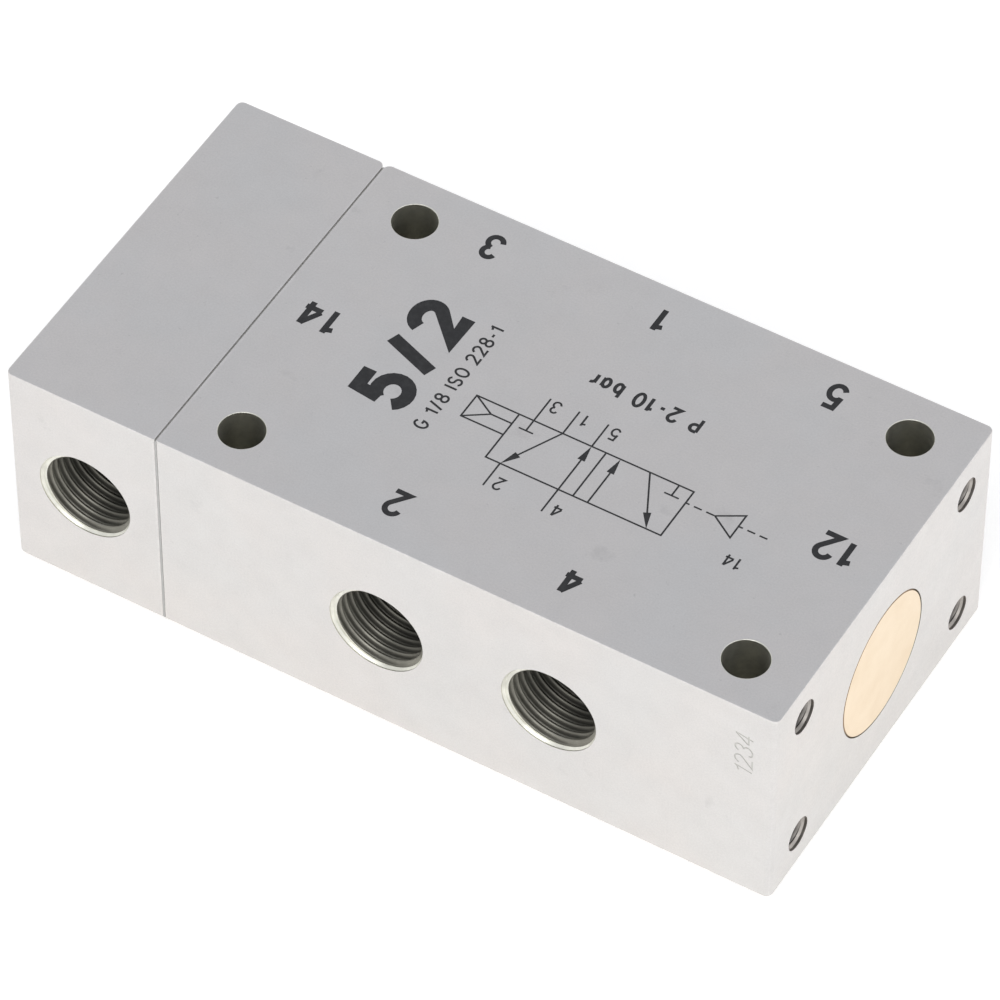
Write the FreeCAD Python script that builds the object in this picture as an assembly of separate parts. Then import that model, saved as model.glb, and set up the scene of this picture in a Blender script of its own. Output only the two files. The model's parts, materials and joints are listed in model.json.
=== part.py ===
import FreeCAD, Part
import math
import os

from FreeCAD import Vector

# A 5/2-way pneumatic directional valve for G1/8 pipe threads, worked by an air pilot and returned
# by an air spring. Millimetres. X runs along the valve from the pilot cover to the brass plug,
# Y across it with outlets 2 and 4 on the -Y side, and Z up. The origin is the middle of the base.

# Blocks
WIDTH = 40.0
HEIGHT = 25.0
COVER_LENGTH = 16.0
BODY_LENGTH = 64.0
GASKET_THICKNESS = 0.2
CORNER_RADIUS = 0.7
BASE_EDGE_RADIUS = 0.5
TOP_EDGE_CHAMFER = 0.15

TOTAL_LENGTH = COVER_LENGTH + GASKET_THICKNESS + BODY_LENGTH
COVER_OUTER_X = -TOTAL_LENGTH / 2
COVER_INNER_X = COVER_OUTER_X + COVER_LENGTH
BODY_X = COVER_INNER_X + GASKET_THICKNESS
BODY_END_X = BODY_X + BODY_LENGTH
BODY_MIDDLE_X = BODY_X + BODY_LENGTH / 2
COVER_MIDDLE_X = COVER_OUTER_X + COVER_LENGTH / 2
AXIS_Z = HEIGHT / 2

# G1/8 ports
THREAD_RADIUS = 9.73 / 2
TAP_DRILL_RADIUS = 8.6 / 2
PORT_MOUTH_RADIUS = 10.0 / 2
PORT_THREAD_DEPTH = 8.0
TAP_DRILL_EXTRA = 1.0
PASSAGE_RADIUS = 5.5 / 2
DRILL_HALF_ANGLE = math.radians(59.0)
GALLERY_PITCH = 9.0
PORT_SIDES = {"3": +1, "2": -1, "1": +1, "4": -1, "5": +1}

# Holes through the block for the mounting screws, and M3 threads in both end faces. The free
# face's threads are cut to their outer radius; under the cover they keep the tap drill's radius,
# and the cover screws' threads bite into the wall.
MOUNT_HOLE_RADIUS = 4.4 / 2
MOUNT_HOLE_MOUTH = 0.15
MOUNT_HOLE_INSET_X = 6.0
MOUNT_HOLE_Y = 15.0
M3_RADIUS = 3.0 / 2
M3_TAP_DRILL_RADIUS = 2.5 / 2
M3_MOUTH = 0.25
M3_HALF_HEIGHT = 8.25

# Main bore and the stack of cages and seals in it
BORE_RADIUS = 16.0 / 2
BORE_STEP = 60.0
PLUG_BORE_RADIUS = 14.6 / 2
FLANGE_SEAT_RADIUS = 20.1 / 2
FLANGE_SEAT_DEPTH = 1.5
STACK_CLEARANCE = 0.04
SEAL_SEAT = 3.0
SEAL_SECTION = 2.9
CAGE_LENGTH = GALLERY_PITCH - SEAL_SEAT
STACK_START = BODY_LENGTH / 2 - 2.5 * GALLERY_PITCH - SEAL_SEAT / 2
STACK_END = BODY_LENGTH / 2 + 2.5 * GALLERY_PITCH + SEAL_SEAT / 2
CAGE_INNER_RADIUS = 11.0 / 2
CAGE_GROOVE_RADIUS = 13.6 / 2
CAGE_GROOVE_LENGTH = 3.6
CAGE_WINDOWS = 8
CAGE_WINDOW_RADIUS = 1.3

# Spool and pilot piston
STROKE = 4.5
SPOOL_RADIUS = 10.0 / 2
WAIST_RADIUS = 6.0 / 2
SPOOL_CHAMFER = 0.5
LANDS = [(None, 11.5), (17.0, 24.0), (35.0, 42.0), (48.0, 57.0)]
SPOOL_DRILLING_RADIUS = 1.2
SPOOL_CROSS_HOLE_RADIUS = 1.0
SPOOL_CROSS_HOLE_AT = 30.0
GUIDE_RADIUS = 10.1 / 2
PISTON_BORE_RADIUS = 18.0 / 2
PISTON_BORE_DEPTH = 9.0
PISTON_RADIUS = 17.9 / 2
PISTON_THICKNESS = 3.6
PISTON_NUB_RADIUS = 3.5
PISTON_NUB_LENGTH = 1.0
PISTON_GROOVE_RADIUS = 13.6 / 2
PISTON_GROOVE_WIDTH = 2.0
STOP_GAP = 0.05
TOUCH_GAP = 0.02
PISTON_SEAL_GAP = 0.03

# Pilot port in the cover
PILOT_THREAD_DEPTH = 7.5
PILOT_FEED_RADIUS = 1.7
PILOT_FEED_OFFSET = -2.0
PILOT_FEED_END_Y = -3.0

# Guide bush, end plug and the vent under the guide bush
BUSH_FLANGE_RADIUS = 20.0 / 2
BUSH_RECESS = (2.5, 5.5)
BUSH_RECESS_RADIUS = 13.4 / 2
BUSH_VENT_RADIUS = 0.7
BUSH_VENT_CIRCLE = 6.5
BUSH_VENTS = 4
VENT_RADIUS = 0.75
VENT_AT = 4.0
PLUG_NOSE_RADIUS = 14.5 / 2
PLUG_CUP_RADIUS = 10.4 / 2
PLUG_WALL = 1.7
PLUG_EDGE_CHAMFER = 0.12
PLUG_GROOVE_RADIUS = 13.2 / 2
PLUG_GROOVE_WIDTH = 1.6
PLUG_RING_SECTION = 1.3

# Cover screws, M3 x 16 with socket heads
SCREW_RADIUS = 2.98 / 2
SCREW_LENGTH = 16.0
SCREW_TIP_LENGTH = 0.5
SCREW_CLEARANCE_RADIUS = 3.4 / 2
SCREW_HEAD_RADIUS = 5.5 / 2
SCREW_HEAD_HEIGHT = 3.0
SCREW_HEAD_CHAMFER = 0.25
COUNTERBORE_RADIUS = 6.2 / 2
COUNTERBORE_DEPTH = 3.4
HEX_ACROSS_FLATS = 2.5
HEX_DEPTH = 1.5
GASKET_INSET = 0.35

X_AXIS = Vector(1, 0, 0)
Y_AXIS = Vector(0, 1, 0)
SCREW_HEIGHTS = (AXIS_Z - M3_HALF_HEIGHT, AXIS_Z + M3_HALF_HEIGHT)
SCREW_PLACES = [(y, z) for y in (-MOUNT_HOLE_Y, MOUNT_HOLE_Y) for z in SCREW_HEIGHTS]


def gallery_x(port):
    """Where a port's gallery lies along X; the order along the bore is 3, 2, 1, 4, 5."""
    step = list(PORT_SIDES).index(port) - 2
    return BODY_MIDDLE_X + step * GALLERY_PITCH


def rod(radius, x_start, x_end, y=0.0, z=AXIS_Z):
    """A cylinder along X."""
    return Part.makeCylinder(radius, x_end - x_start, Vector(x_start, y, z), X_AXIS)


def turned(profile):
    """A solid turned about the main axis; profile is a closed list of (x, radius)."""
    points = [Vector(x, 0, AXIS_Z + r) for x, r in profile]
    face = Part.Face(Part.makePolygon(points + points[:1]))
    return face.revolve(Vector(0, 0, AXIS_Z), X_AXIS, 360)


def ring(section, middle_radius, x):
    """A round-section ring about the main axis."""
    return Part.makeTorus(middle_radius, section / 2, Vector(x, 0, AXIS_Z), X_AXIS)


def eased_block(x_start, x_end):
    """A block with rounded upright corners, a rounded base edge and a fine chamfer round the top."""
    block = Part.makeBox(x_end - x_start, WIDTH, HEIGHT, Vector(x_start, -WIDTH / 2, 0))
    upright = [e for e in block.Edges if abs(e.Vertexes[0].Z - e.Vertexes[1].Z) > HEIGHT / 2]
    block = block.makeFillet(CORNER_RADIUS, upright)
    block = block.makeFillet(BASE_EDGE_RADIUS, edges_at_height(block, 0))
    return block.makeChamfer(TOP_EDGE_CHAMFER, edges_at_height(block, HEIGHT))


def edges_at_height(shape, z):
    return [e for e in shape.Edges if all(abs(v.Z - z) < 1e-6 for v in e.Vertexes)]


def port_hole(x, side, thread_depth):
    """The tapped part of a G1/8 port, its mouth chamfer and the tap drill's run-out."""
    face = Vector(x, side * WIDTH / 2, AXIS_Z)
    inward = Vector(0, -side, 0)
    thread = Part.makeCylinder(THREAD_RADIUS, thread_depth, face, inward)
    drill = Part.makeCylinder(TAP_DRILL_RADIUS, thread_depth + TAP_DRILL_EXTRA, face, inward)
    mouth_depth = PORT_MOUTH_RADIUS - THREAD_RADIUS
    mouth = Part.makeCone(PORT_MOUTH_RADIUS, THREAD_RADIUS, mouth_depth, face, inward)
    return thread.fuse([drill, mouth])


def gallery_hole(x, side):
    """A port with its drill tip and the passage that breaks into the main bore."""
    inward = Vector(0, -side, 0)
    tip_at = PORT_THREAD_DEPTH + TAP_DRILL_EXTRA
    tip_length = (TAP_DRILL_RADIUS - PASSAGE_RADIUS) / math.tan(DRILL_HALF_ANGLE)
    tip_start = Vector(x, side * (WIDTH / 2 - tip_at), AXIS_Z)
    tip = Part.makeCone(TAP_DRILL_RADIUS, PASSAGE_RADIUS, tip_length, tip_start, inward)
    passage_length = WIDTH / 2 - tip_at - BORE_RADIUS / 2
    passage = Part.makeCylinder(PASSAGE_RADIUS, passage_length, tip_start, inward)
    return port_hole(x, side, PORT_THREAD_DEPTH).fuse([tip, passage])


def mounting_hole(x, y):
    """A plain hole right through the block with both mouths eased."""
    hole = Part.makeCylinder(MOUNT_HOLE_RADIUS, HEIGHT, Vector(x, y, 0))
    wide = MOUNT_HOLE_RADIUS + MOUNT_HOLE_MOUTH
    top_start = Vector(x, y, HEIGHT - MOUNT_HOLE_MOUTH)
    top = Part.makeCone(MOUNT_HOLE_RADIUS, wide, MOUNT_HOLE_MOUTH, top_start)
    base = Part.makeCone(wide, MOUNT_HOLE_RADIUS, MOUNT_HOLE_MOUTH, Vector(x, y, 0))
    return hole.fuse([top, base])


def end_thread(x, y, z, direction, radius):
    """An M3 hole from an end face into the mounting hole behind it."""
    face = Vector(x, y, z)
    inward = Vector(direction, 0, 0)
    thread = Part.makeCylinder(radius, MOUNT_HOLE_INSET_X, face, inward)
    mouth = Part.makeCone(M3_RADIUS + M3_MOUTH, radius, M3_RADIUS + M3_MOUTH - radius, face, inward)
    return thread.fuse(mouth)


def valve_body():
    body = eased_block(BODY_X, BODY_END_X)
    holes = [
        rod(BORE_RADIUS, BODY_X, BODY_X + BORE_STEP),
        rod(PLUG_BORE_RADIUS, BODY_X, BODY_END_X),
        rod(FLANGE_SEAT_RADIUS, BODY_X, BODY_X + FLANGE_SEAT_DEPTH),
        Part.makeCylinder(VENT_RADIUS, AXIS_Z, Vector(BODY_X + VENT_AT, 0, 0)),
    ]
    holes += [gallery_hole(gallery_x(port), side) for port, side in PORT_SIDES.items()]
    for x in (BODY_X + MOUNT_HOLE_INSET_X, BODY_END_X - MOUNT_HOLE_INSET_X):
        holes += [mounting_hole(x, y) for y in (-MOUNT_HOLE_Y, MOUNT_HOLE_Y)]
    for y, z in SCREW_PLACES:
        holes.append(end_thread(BODY_X, y, z, +1, M3_TAP_DRILL_RADIUS))
        holes.append(end_thread(BODY_END_X, y, z, -1, M3_RADIUS))
    return body.cut(holes)


def pilot_cover():
    cover = eased_block(COVER_OUTER_X, COVER_INNER_X)
    feed_start_y = -WIDTH / 2 + PILOT_THREAD_DEPTH
    feed_start = Vector(COVER_MIDDLE_X + PILOT_FEED_OFFSET, feed_start_y, AXIS_Z)
    holes = [
        rod(PISTON_BORE_RADIUS, COVER_INNER_X - PISTON_BORE_DEPTH, COVER_INNER_X),
        port_hole(COVER_MIDDLE_X, -1, PILOT_THREAD_DEPTH),
        Part.makeCylinder(PILOT_FEED_RADIUS, PILOT_FEED_END_Y - feed_start_y, feed_start, Y_AXIS),
    ]
    for y, z in SCREW_PLACES:
        holes.append(rod(SCREW_CLEARANCE_RADIUS, COVER_OUTER_X, COVER_INNER_X, y, z))
        holes.append(rod(COUNTERBORE_RADIUS, COVER_OUTER_X, COVER_OUTER_X + COUNTERBORE_DEPTH, y, z))
    return cover.cut(holes)


def cover_gasket():
    """A thin sheet between cover and body, set back a little from their outline."""
    width = WIDTH - 2 * GASKET_INSET
    height = HEIGHT - 2 * GASKET_INSET
    corner = Vector(COVER_INNER_X, -width / 2, GASKET_INSET)
    sheet = Part.makeBox(GASKET_THICKNESS, width, height, corner)
    holes = [rod(PISTON_BORE_RADIUS, COVER_INNER_X, BODY_X)]
    holes += [rod(SCREW_CLEARANCE_RADIUS, COVER_INNER_X, BODY_X, y, z) for y, z in SCREW_PLACES]
    return sheet.cut(holes)


def cover_screw(y, z):
    """An M3 x 16 socket head screw, its head at the bottom of the counterbore."""
    seat = COVER_OUTER_X + COUNTERBORE_DEPTH
    top = seat - SCREW_HEAD_HEIGHT
    crown = top + SCREW_HEAD_CHAMFER
    centre = Vector(crown, y, z)
    head = rod(SCREW_HEAD_RADIUS, crown, seat, y, z)
    crown_radius = SCREW_HEAD_RADIUS - SCREW_HEAD_CHAMFER
    bevel = Part.makeCone(SCREW_HEAD_RADIUS, crown_radius, SCREW_HEAD_CHAMFER, centre, -X_AXIS)
    tip_x = seat + SCREW_LENGTH - SCREW_TIP_LENGTH
    shank = rod(SCREW_RADIUS, seat, tip_x, y, z)
    tip_radius = SCREW_RADIUS - SCREW_TIP_LENGTH
    tip = Part.makeCone(SCREW_RADIUS, tip_radius, SCREW_TIP_LENGTH, Vector(tip_x, y, z), X_AXIS)
    corner = HEX_ACROSS_FLATS / math.sqrt(3)
    angles = [math.radians(60 * k) for k in range(6)]
    corners = [Vector(top, y + corner * math.cos(a), z + corner * math.sin(a)) for a in angles]
    socket = Part.Face(Part.makePolygon(corners + corners[:1])).extrude(Vector(HEX_DEPTH, 0, 0))
    return head.fuse([bevel, shank, tip]).removeSplitter().cut(socket)


def guide_bush():
    """A flanged brass bush that guides the spool and holds the stack of seals in the bore."""
    outer = BORE_RADIUS - STACK_CLEARANCE
    start, end = BODY_X, BODY_X + STACK_START
    bush = turned([
        (start, GUIDE_RADIUS),
        (start, BUSH_FLANGE_RADIUS),
        (start + FLANGE_SEAT_DEPTH, BUSH_FLANGE_RADIUS),
        (start + FLANGE_SEAT_DEPTH, outer),
        (start + BUSH_RECESS[0], outer),
        (start + BUSH_RECESS[0], BUSH_RECESS_RADIUS),
        (start + BUSH_RECESS[1], BUSH_RECESS_RADIUS),
        (start + BUSH_RECESS[1], outer),
        (end, outer),
        (end, GUIDE_RADIUS),
    ])
    vents = []
    for k in range(BUSH_VENTS):
        angle = 2 * math.pi * (k + 0.5) / BUSH_VENTS
        y = BUSH_VENT_CIRCLE * math.cos(angle)
        z = AXIS_Z + BUSH_VENT_CIRCLE * math.sin(angle)
        vents.append(rod(BUSH_VENT_RADIUS, start, start + sum(BUSH_RECESS) / 2, y, z))
    return bush.cut(vents)


def end_plug():
    """A brass plug whose shoulder rests on the bore's step and whose face is flush with the body."""
    outer = BORE_RADIUS - STACK_CLEARANCE
    start = BODY_X + STACK_END
    shoulder = BODY_X + BORE_STEP
    groove = (start + shoulder) / 2
    return turned([
        (start, PLUG_CUP_RADIUS),
        (start, outer),
        (groove - PLUG_GROOVE_WIDTH / 2, outer),
        (groove - PLUG_GROOVE_WIDTH / 2, PLUG_GROOVE_RADIUS),
        (groove + PLUG_GROOVE_WIDTH / 2, PLUG_GROOVE_RADIUS),
        (groove + PLUG_GROOVE_WIDTH / 2, outer),
        (shoulder, outer),
        (shoulder, PLUG_NOSE_RADIUS),
        (BODY_END_X - PLUG_EDGE_CHAMFER, PLUG_NOSE_RADIUS),
        (BODY_END_X, PLUG_NOSE_RADIUS - PLUG_EDGE_CHAMFER),
        (BODY_END_X, 0),
        (BODY_END_X - PLUG_WALL, 0),
        (BODY_END_X - PLUG_WALL, PLUG_CUP_RADIUS),
    ])


def end_plug_ring():
    middle = (PLUG_GROOVE_RADIUS + BORE_RADIUS) / 2
    return ring(PLUG_RING_SECTION, middle, BODY_X + (STACK_END + BORE_STEP) / 2)


def cage(port):
    """A spacer ring with a groove and windows that lead its port's air to the spool."""
    x = gallery_x(port)
    outer = BORE_RADIUS - STACK_CLEARANCE
    half, groove = CAGE_LENGTH / 2, CAGE_GROOVE_LENGTH / 2
    body = turned([
        (x - half, CAGE_INNER_RADIUS),
        (x - half, outer),
        (x - groove, outer),
        (x - groove, CAGE_GROOVE_RADIUS),
        (x + groove, CAGE_GROOVE_RADIUS),
        (x + groove, outer),
        (x + half, outer),
        (x + half, CAGE_INNER_RADIUS),
    ])
    windows = []
    for k in range(CAGE_WINDOWS):
        angle = 2 * math.pi * k / CAGE_WINDOWS
        outward = Vector(0, math.cos(angle), math.sin(angle))
        windows.append(Part.makeCylinder(CAGE_WINDOW_RADIUS, BORE_RADIUS, Vector(x, 0, AXIS_Z), outward))
    return body.cut(windows)


def spool_seal(number):
    x = BODY_MIDDLE_X + (number - 3.5) * GALLERY_PITCH
    return ring(SEAL_SECTION, (SPOOL_RADIUS + BORE_RADIUS) / 2, x)


def spool():
    """The spool in its returned place, which joins 1 to 2 and 4 to 5."""
    piston_face = BODY_X - STOP_GAP - STROKE
    lands = [(BODY_X + (a or 0), BODY_X + b) for a, b in LANDS]
    lands[0] = (piston_face + TOUCH_GAP, lands[0][1])
    profile = [(lands[0][0], 0)]
    for start, end in lands:
        profile += [(start, SPOOL_RADIUS - SPOOL_CHAMFER), (start + SPOOL_CHAMFER, SPOOL_RADIUS)]
        profile += [(end - SPOOL_CHAMFER, SPOOL_RADIUS), (end, SPOOL_RADIUS - SPOOL_CHAMFER)]
        if (start, end) != lands[-1]:
            next_start = lands[lands.index((start, end)) + 1][0]
            profile += [(end, WAIST_RADIUS), (next_start, WAIST_RADIUS)]
    profile.append((lands[-1][1], 0))
    cross_x = BODY_X + SPOOL_CROSS_HOLE_AT
    drilling = rod(SPOOL_DRILLING_RADIUS, cross_x, lands[-1][1])
    cross_start = Vector(cross_x, 0, AXIS_Z - SPOOL_RADIUS)
    cross = Part.makeCylinder(SPOOL_CROSS_HOLE_RADIUS, 2 * SPOOL_RADIUS, cross_start)
    return turned(profile).cut([drilling, cross])


def pilot_piston():
    """The piston in its returned place, its nub against the end of the cover's bore."""
    face = BODY_X - STOP_GAP - STROKE
    back = face - PISTON_THICKNESS
    middle = (face + back) / 2
    return turned([
        (back - PISTON_NUB_LENGTH, 0),
        (back - PISTON_NUB_LENGTH, PISTON_NUB_RADIUS),
        (back, PISTON_NUB_RADIUS),
        (back, PISTON_RADIUS),
        (middle - PISTON_GROOVE_WIDTH / 2, PISTON_RADIUS),
        (middle - PISTON_GROOVE_WIDTH / 2, PISTON_GROOVE_RADIUS),
        (middle + PISTON_GROOVE_WIDTH / 2, PISTON_GROOVE_RADIUS),
        (middle + PISTON_GROOVE_WIDTH / 2, PISTON_RADIUS),
        (face, PISTON_RADIUS),
        (face, 0),
    ])


def pilot_piston_seal():
    """A lip ring in the piston's groove, open towards the pilot air."""
    middle = BODY_X - STOP_GAP - STROKE - PISTON_THICKNESS / 2
    half = PISTON_GROOVE_WIDTH / 2 - STOP_GAP
    inner = PISTON_GROOVE_RADIUS + STOP_GAP
    outer = PISTON_BORE_RADIUS - PISTON_SEAL_GAP
    centre = (inner + outer) / 2
    notch = (outer - inner) / 5
    return turned([
        (middle + half, inner),
        (middle + half, outer - notch),
        (middle - half, outer),
        (middle - half, centre + notch),
        (middle, centre),
        (middle - half, centre - notch),
        (middle - half, inner),
    ])


def save(name, shape):
    solids = shape.Solids
    made = solids[0] if len(solids) == 1 else Part.makeCompound(solids)
    made.exportStep("parts/" + name + ".step")
    state = "valid" if made.isValid() else "NOT VALID"
    print(name, len(solids), "solid(s)", round(made.Volume, 1), "mm3", state)


def main():
    os.makedirs("parts", exist_ok=True)
    save("valve_body", valve_body())
    save("pilot_cover", pilot_cover())
    save("cover_gasket", cover_gasket())
    save("cover_screws", Part.makeCompound([cover_screw(y, z) for y, z in SCREW_PLACES]))
    save("guide_bush", guide_bush())
    save("end_plug", end_plug())
    save("end_plug_ring", end_plug_ring())
    for port in PORT_SIDES:
        save("cage_port_" + port, cage(port))
    for number in range(1, 7):
        save("spool_seal_%d" % number, spool_seal(number))
    save("spool", spool())
    save("pilot_piston", pilot_piston())
    save("pilot_piston_seal", pilot_piston_seal())


main()
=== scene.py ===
"""An air-piloted 5/2 directional valve: its visible pieces, finishes and stage round the packed frame."""

import json
import math

import bmesh
import bpy
from bpy.props import FloatProperty
from bpy.props import FloatVectorProperty
from bpy.props import IntProperty
from bpy.props import PointerProperty
from bpy.props import StringProperty
from mathutils import Matrix
from mathutils import Vector


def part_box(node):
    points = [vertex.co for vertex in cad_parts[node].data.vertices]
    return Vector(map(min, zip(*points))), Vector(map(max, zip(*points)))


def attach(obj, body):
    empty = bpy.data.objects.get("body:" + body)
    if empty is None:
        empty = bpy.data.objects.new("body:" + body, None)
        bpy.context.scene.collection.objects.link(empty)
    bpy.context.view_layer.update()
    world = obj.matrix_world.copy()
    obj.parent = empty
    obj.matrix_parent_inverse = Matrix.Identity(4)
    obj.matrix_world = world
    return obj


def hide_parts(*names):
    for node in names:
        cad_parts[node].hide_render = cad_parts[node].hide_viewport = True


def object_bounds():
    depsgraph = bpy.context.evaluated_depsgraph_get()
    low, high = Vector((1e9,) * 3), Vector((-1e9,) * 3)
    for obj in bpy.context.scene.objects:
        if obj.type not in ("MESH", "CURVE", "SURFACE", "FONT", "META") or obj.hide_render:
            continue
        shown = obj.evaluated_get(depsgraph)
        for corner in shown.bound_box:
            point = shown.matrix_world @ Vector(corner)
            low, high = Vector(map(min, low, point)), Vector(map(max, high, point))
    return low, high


bl_info = {
    "name": "Directional Valve",
    "version": (1, 0, 0),
    "blender": (4, 5, 0),
    "location": "View3D > Sidebar > Valve",
    "description": "Makes a pneumatic 5/2 directional valve block round its CAD frame",
    "category": "Add Mesh",
}

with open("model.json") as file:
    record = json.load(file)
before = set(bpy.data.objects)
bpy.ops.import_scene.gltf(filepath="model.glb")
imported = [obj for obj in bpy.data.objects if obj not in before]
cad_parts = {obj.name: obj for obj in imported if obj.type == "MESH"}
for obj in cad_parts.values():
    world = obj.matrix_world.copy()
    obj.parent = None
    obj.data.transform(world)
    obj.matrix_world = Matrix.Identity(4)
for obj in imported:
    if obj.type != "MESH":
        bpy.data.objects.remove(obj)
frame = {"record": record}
CAD_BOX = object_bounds()
MOUNTS = {mount["name"]: mount for mount in frame["record"]["mounts"]}

MM = 0.001
X_AXIS = Vector((1, 0, 0))
Y_AXIS = Vector((0, 1, 0))
Z_AXIS = Vector((0, 0, 1))

# Places read from the frame
BODY_LOW, BODY_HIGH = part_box("valve_body")
COVER_LOW, COVER_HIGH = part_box("pilot_cover")
PLUG_LOW, PLUG_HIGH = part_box("end_plug")
SCREWS_LOW, SCREWS_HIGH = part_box("cover_screws")
HALF_WIDTH = BODY_HIGH.y
TOP_Z = BODY_HIGH.z
AXIS_Z = TOP_Z / 2
PORTS = {
    "1": MOUNTS["port_1_supply"],
    "2": MOUNTS["port_2_outlet"],
    "3": MOUNTS["port_3_exhaust"],
    "4": MOUNTS["port_4_outlet"],
    "5": MOUNTS["port_5_exhaust"],
    "14": MOUNTS["port_14_pilot"],
}
BODY_PORTS = ("1", "2", "3", "4", "5")
MOUNT_PATTERN = MOUNTS["mounting_holes"]
END_PATTERN = MOUNTS["end_cover_holes"]

# Drilled and turned sizes, in metres
TAP_DRILL_RADIUS = 4.3 * MM
THREAD_CREST_RADIUS = 4.34 * MM
THREAD_FULLNESS = 0.52
PORT_MOUTH_RADIUS = 4.91 * MM
PORT_MOUTH_LIP = 0.12 * MM
PORT_MOUTH_DEPTH = 0.21 * MM
DRILL_EXTRA = 1.0 * MM
DRILL_HALF_ANGLE = math.radians(59)
PASSAGE_RADIUS = 2.75 * MM
HOLE_MOUTH = 0.07 * MM
M3_RADIUS = 1.5 * MM
M3_DRILL_RADIUS = 1.25 * MM
M3_CREST_RADIUS = M3_DRILL_RADIUS + 0.02 * MM
M3_MOUTH_RADIUS = 1.72 * MM
M3_MOUTH_DEPTH = 0.28 * MM
M3_DEPTH = 6.0 * MM
COVER_SCREW_DEPTH = 3.6 * MM
M3_PITCH = 0.5 * MM
BORE_RADIUS = 8.0 * MM
BORE_LENGTH = 60.0 * MM
PLUG_BORE_RADIUS = 7.3 * MM
FLANGE_SEAT_RADIUS = 10.05 * MM
FLANGE_SEAT_DEPTH = 1.5 * MM
BORE_EDGE_BREAK = 0.03 * MM
VENT_RADIUS = 0.75 * MM
VENT_AT = 4.0 * MM
PLUG_NOSE_RADIUS = 7.28 * MM
PLUG_EDGE = 0.12 * MM
STACK_RADIUS = 7.96 * MM
SPOOL_RADIUS = 5.0 * MM
PISTON_BORE_RADIUS = 9.0 * MM
PISTON_BORE_DEPTH = 9.0 * MM
FEED_RADIUS = 1.7 * MM
FEED_OFFSET = -2.0 * MM
FEED_END_Y = -3.0 * MM
SCREW_CLEARANCE_RADIUS = 1.7 * MM
COUNTERBORE_RADIUS = 3.1 * MM
COUNTERBORE_DEPTH = 3.4 * MM
OVERSHOOT = 1.0 * MM
SMOOTH_ANGLE = math.radians(35)
EDGE_STEPS = 5
TOP_BREAK_STEPS = 2
RING_STEPS = 28
BORE_STEPS = 96
HOLE_STEPS = 48
DRILL_STEPS = 32
VENT_STEPS = 24
PLUG_STEPS = 128
SCREW_HEAD_STEPS = 64
SMALLEST_RADIUS = 0.01 * MM
WELD_DISTANCE = 0.001 * MM

# Reaches of the finishes, and of the painted shade in holes and round the plug, in metres
WEAR_REACH = 0.28 * MM
# Depth in a hole where its painted shade begins
HOLE_SHADE_FROM = 0.45 * MM
# Softness of the painted gap shade round the plug's nose
RIM_SOFTNESS = 0.03 * MM

BODY_FINISHES = ["satin_body", "cut_aluminium", "scribed_aluminium", "drilled_aluminium", "screw_aluminium"]
CUT, SCRIBED, DRILLED, SCREW = 1, 2, 3, 4


# ---------------------------------------------------------------- node trees


class Wire:
    """A node socket that takes part in Python arithmetic; each operation adds a Math node."""

    def __init__(self, socket):
        self.socket = socket

    def other(self, name):
        """Another output of the same node."""
        return Wire(self.socket.node.outputs[name])

    def math(self, operation, *values):
        """A Math node on this socket and up to two more values."""
        return calculate(self.socket.id_data, operation, self, *values)

    def __add__(self, value):
        return self.math("ADD", value)

    def __radd__(self, value):
        return self.math("ADD", value)

    def __sub__(self, value):
        return self.math("SUBTRACT", value)

    def __rsub__(self, value):
        return calculate(self.socket.id_data, "SUBTRACT", value, self)

    def __mul__(self, value):
        return self.math("MULTIPLY", value)

    def __rmul__(self, value):
        return self.math("MULTIPLY", value)

    def __truediv__(self, value):
        return self.math("DIVIDE", value)

    def __pow__(self, value):
        return self.math("POWER", value)

    def __abs__(self):
        return self.math("ABSOLUTE")

    def least(self, value):
        return self.math("MINIMUM", value)

    def most(self, value):
        return self.math("MAXIMUM", value)

    def clamped(self):
        """The value held between 0 and 1."""
        return self.most(0.0).least(1.0)

    def step_between(self, low, high):
        """0 below low, 1 above high, a straight ramp between them."""
        return ((self - low) / (high - low)).clamped()


def connect(value, socket):
    """Links a wire to a socket, or sets the socket's own value."""
    if isinstance(value, Wire):
        socket.id_data.links.new(value.socket, socket)
    else:
        socket.default_value = value


def calculate(tree, operation, *values):
    """One Math node."""
    node = tree.nodes.new("ShaderNodeMath")
    node.operation = operation
    for socket, value in zip(node.inputs, values):
        connect(value, socket)
    return Wire(node.outputs[0])


class Graph:
    """A node tree and the one way to add any node to it."""

    def __init__(self, tree):
        self.tree = tree

    def add(self, kind, settings=None, inputs=None, output=0):
        """Adds a node: its settings first, then its sockets' values or links."""
        node = self.tree.nodes.new(kind)
        for name, value in (settings or {}).items():
            if name == "stops":
                set_stops(node.color_ramp, value)
            else:
                setattr(node, name, value)
        for key, value in (inputs or {}).items():
            connect(value, node.inputs[key])
        return Wire(node.outputs[output]) if node.outputs else node

    def mix(self, factor, first, second):
        """A blend of two colours."""
        settings = {"data_type": "RGBA"}
        return self.add("ShaderNodeMix", settings, {0: factor, 6: first, 7: second}, output=2)

    def noise(self, place, scale, detail=2.0, roughness=0.5):
        """Noise between 0 and 1 at that many bumps per metre."""
        inputs = {"Vector": place, "Scale": scale, "Detail": detail, "Roughness": roughness}
        return self.add("ShaderNodeTexNoise", None, inputs)

    def stretched(self, place, factors):
        """Coordinates multiplied axis by axis."""
        settings = {"operation": "MULTIPLY"}
        return self.add("ShaderNodeVectorMath", settings, {0: place, 1: factors})


def set_stops(ramp, stops):
    """Gives a colour ramp its stops, as (position, grey or colour)."""
    while len(ramp.elements) < len(stops):
        ramp.elements.new(1.0)
    for element, (position, colour) in zip(ramp.elements, stops):
        element.position = position
        element.color = colour


def rgba(colour):
    return (colour[0], colour[1], colour[2], 1.0)


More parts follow.
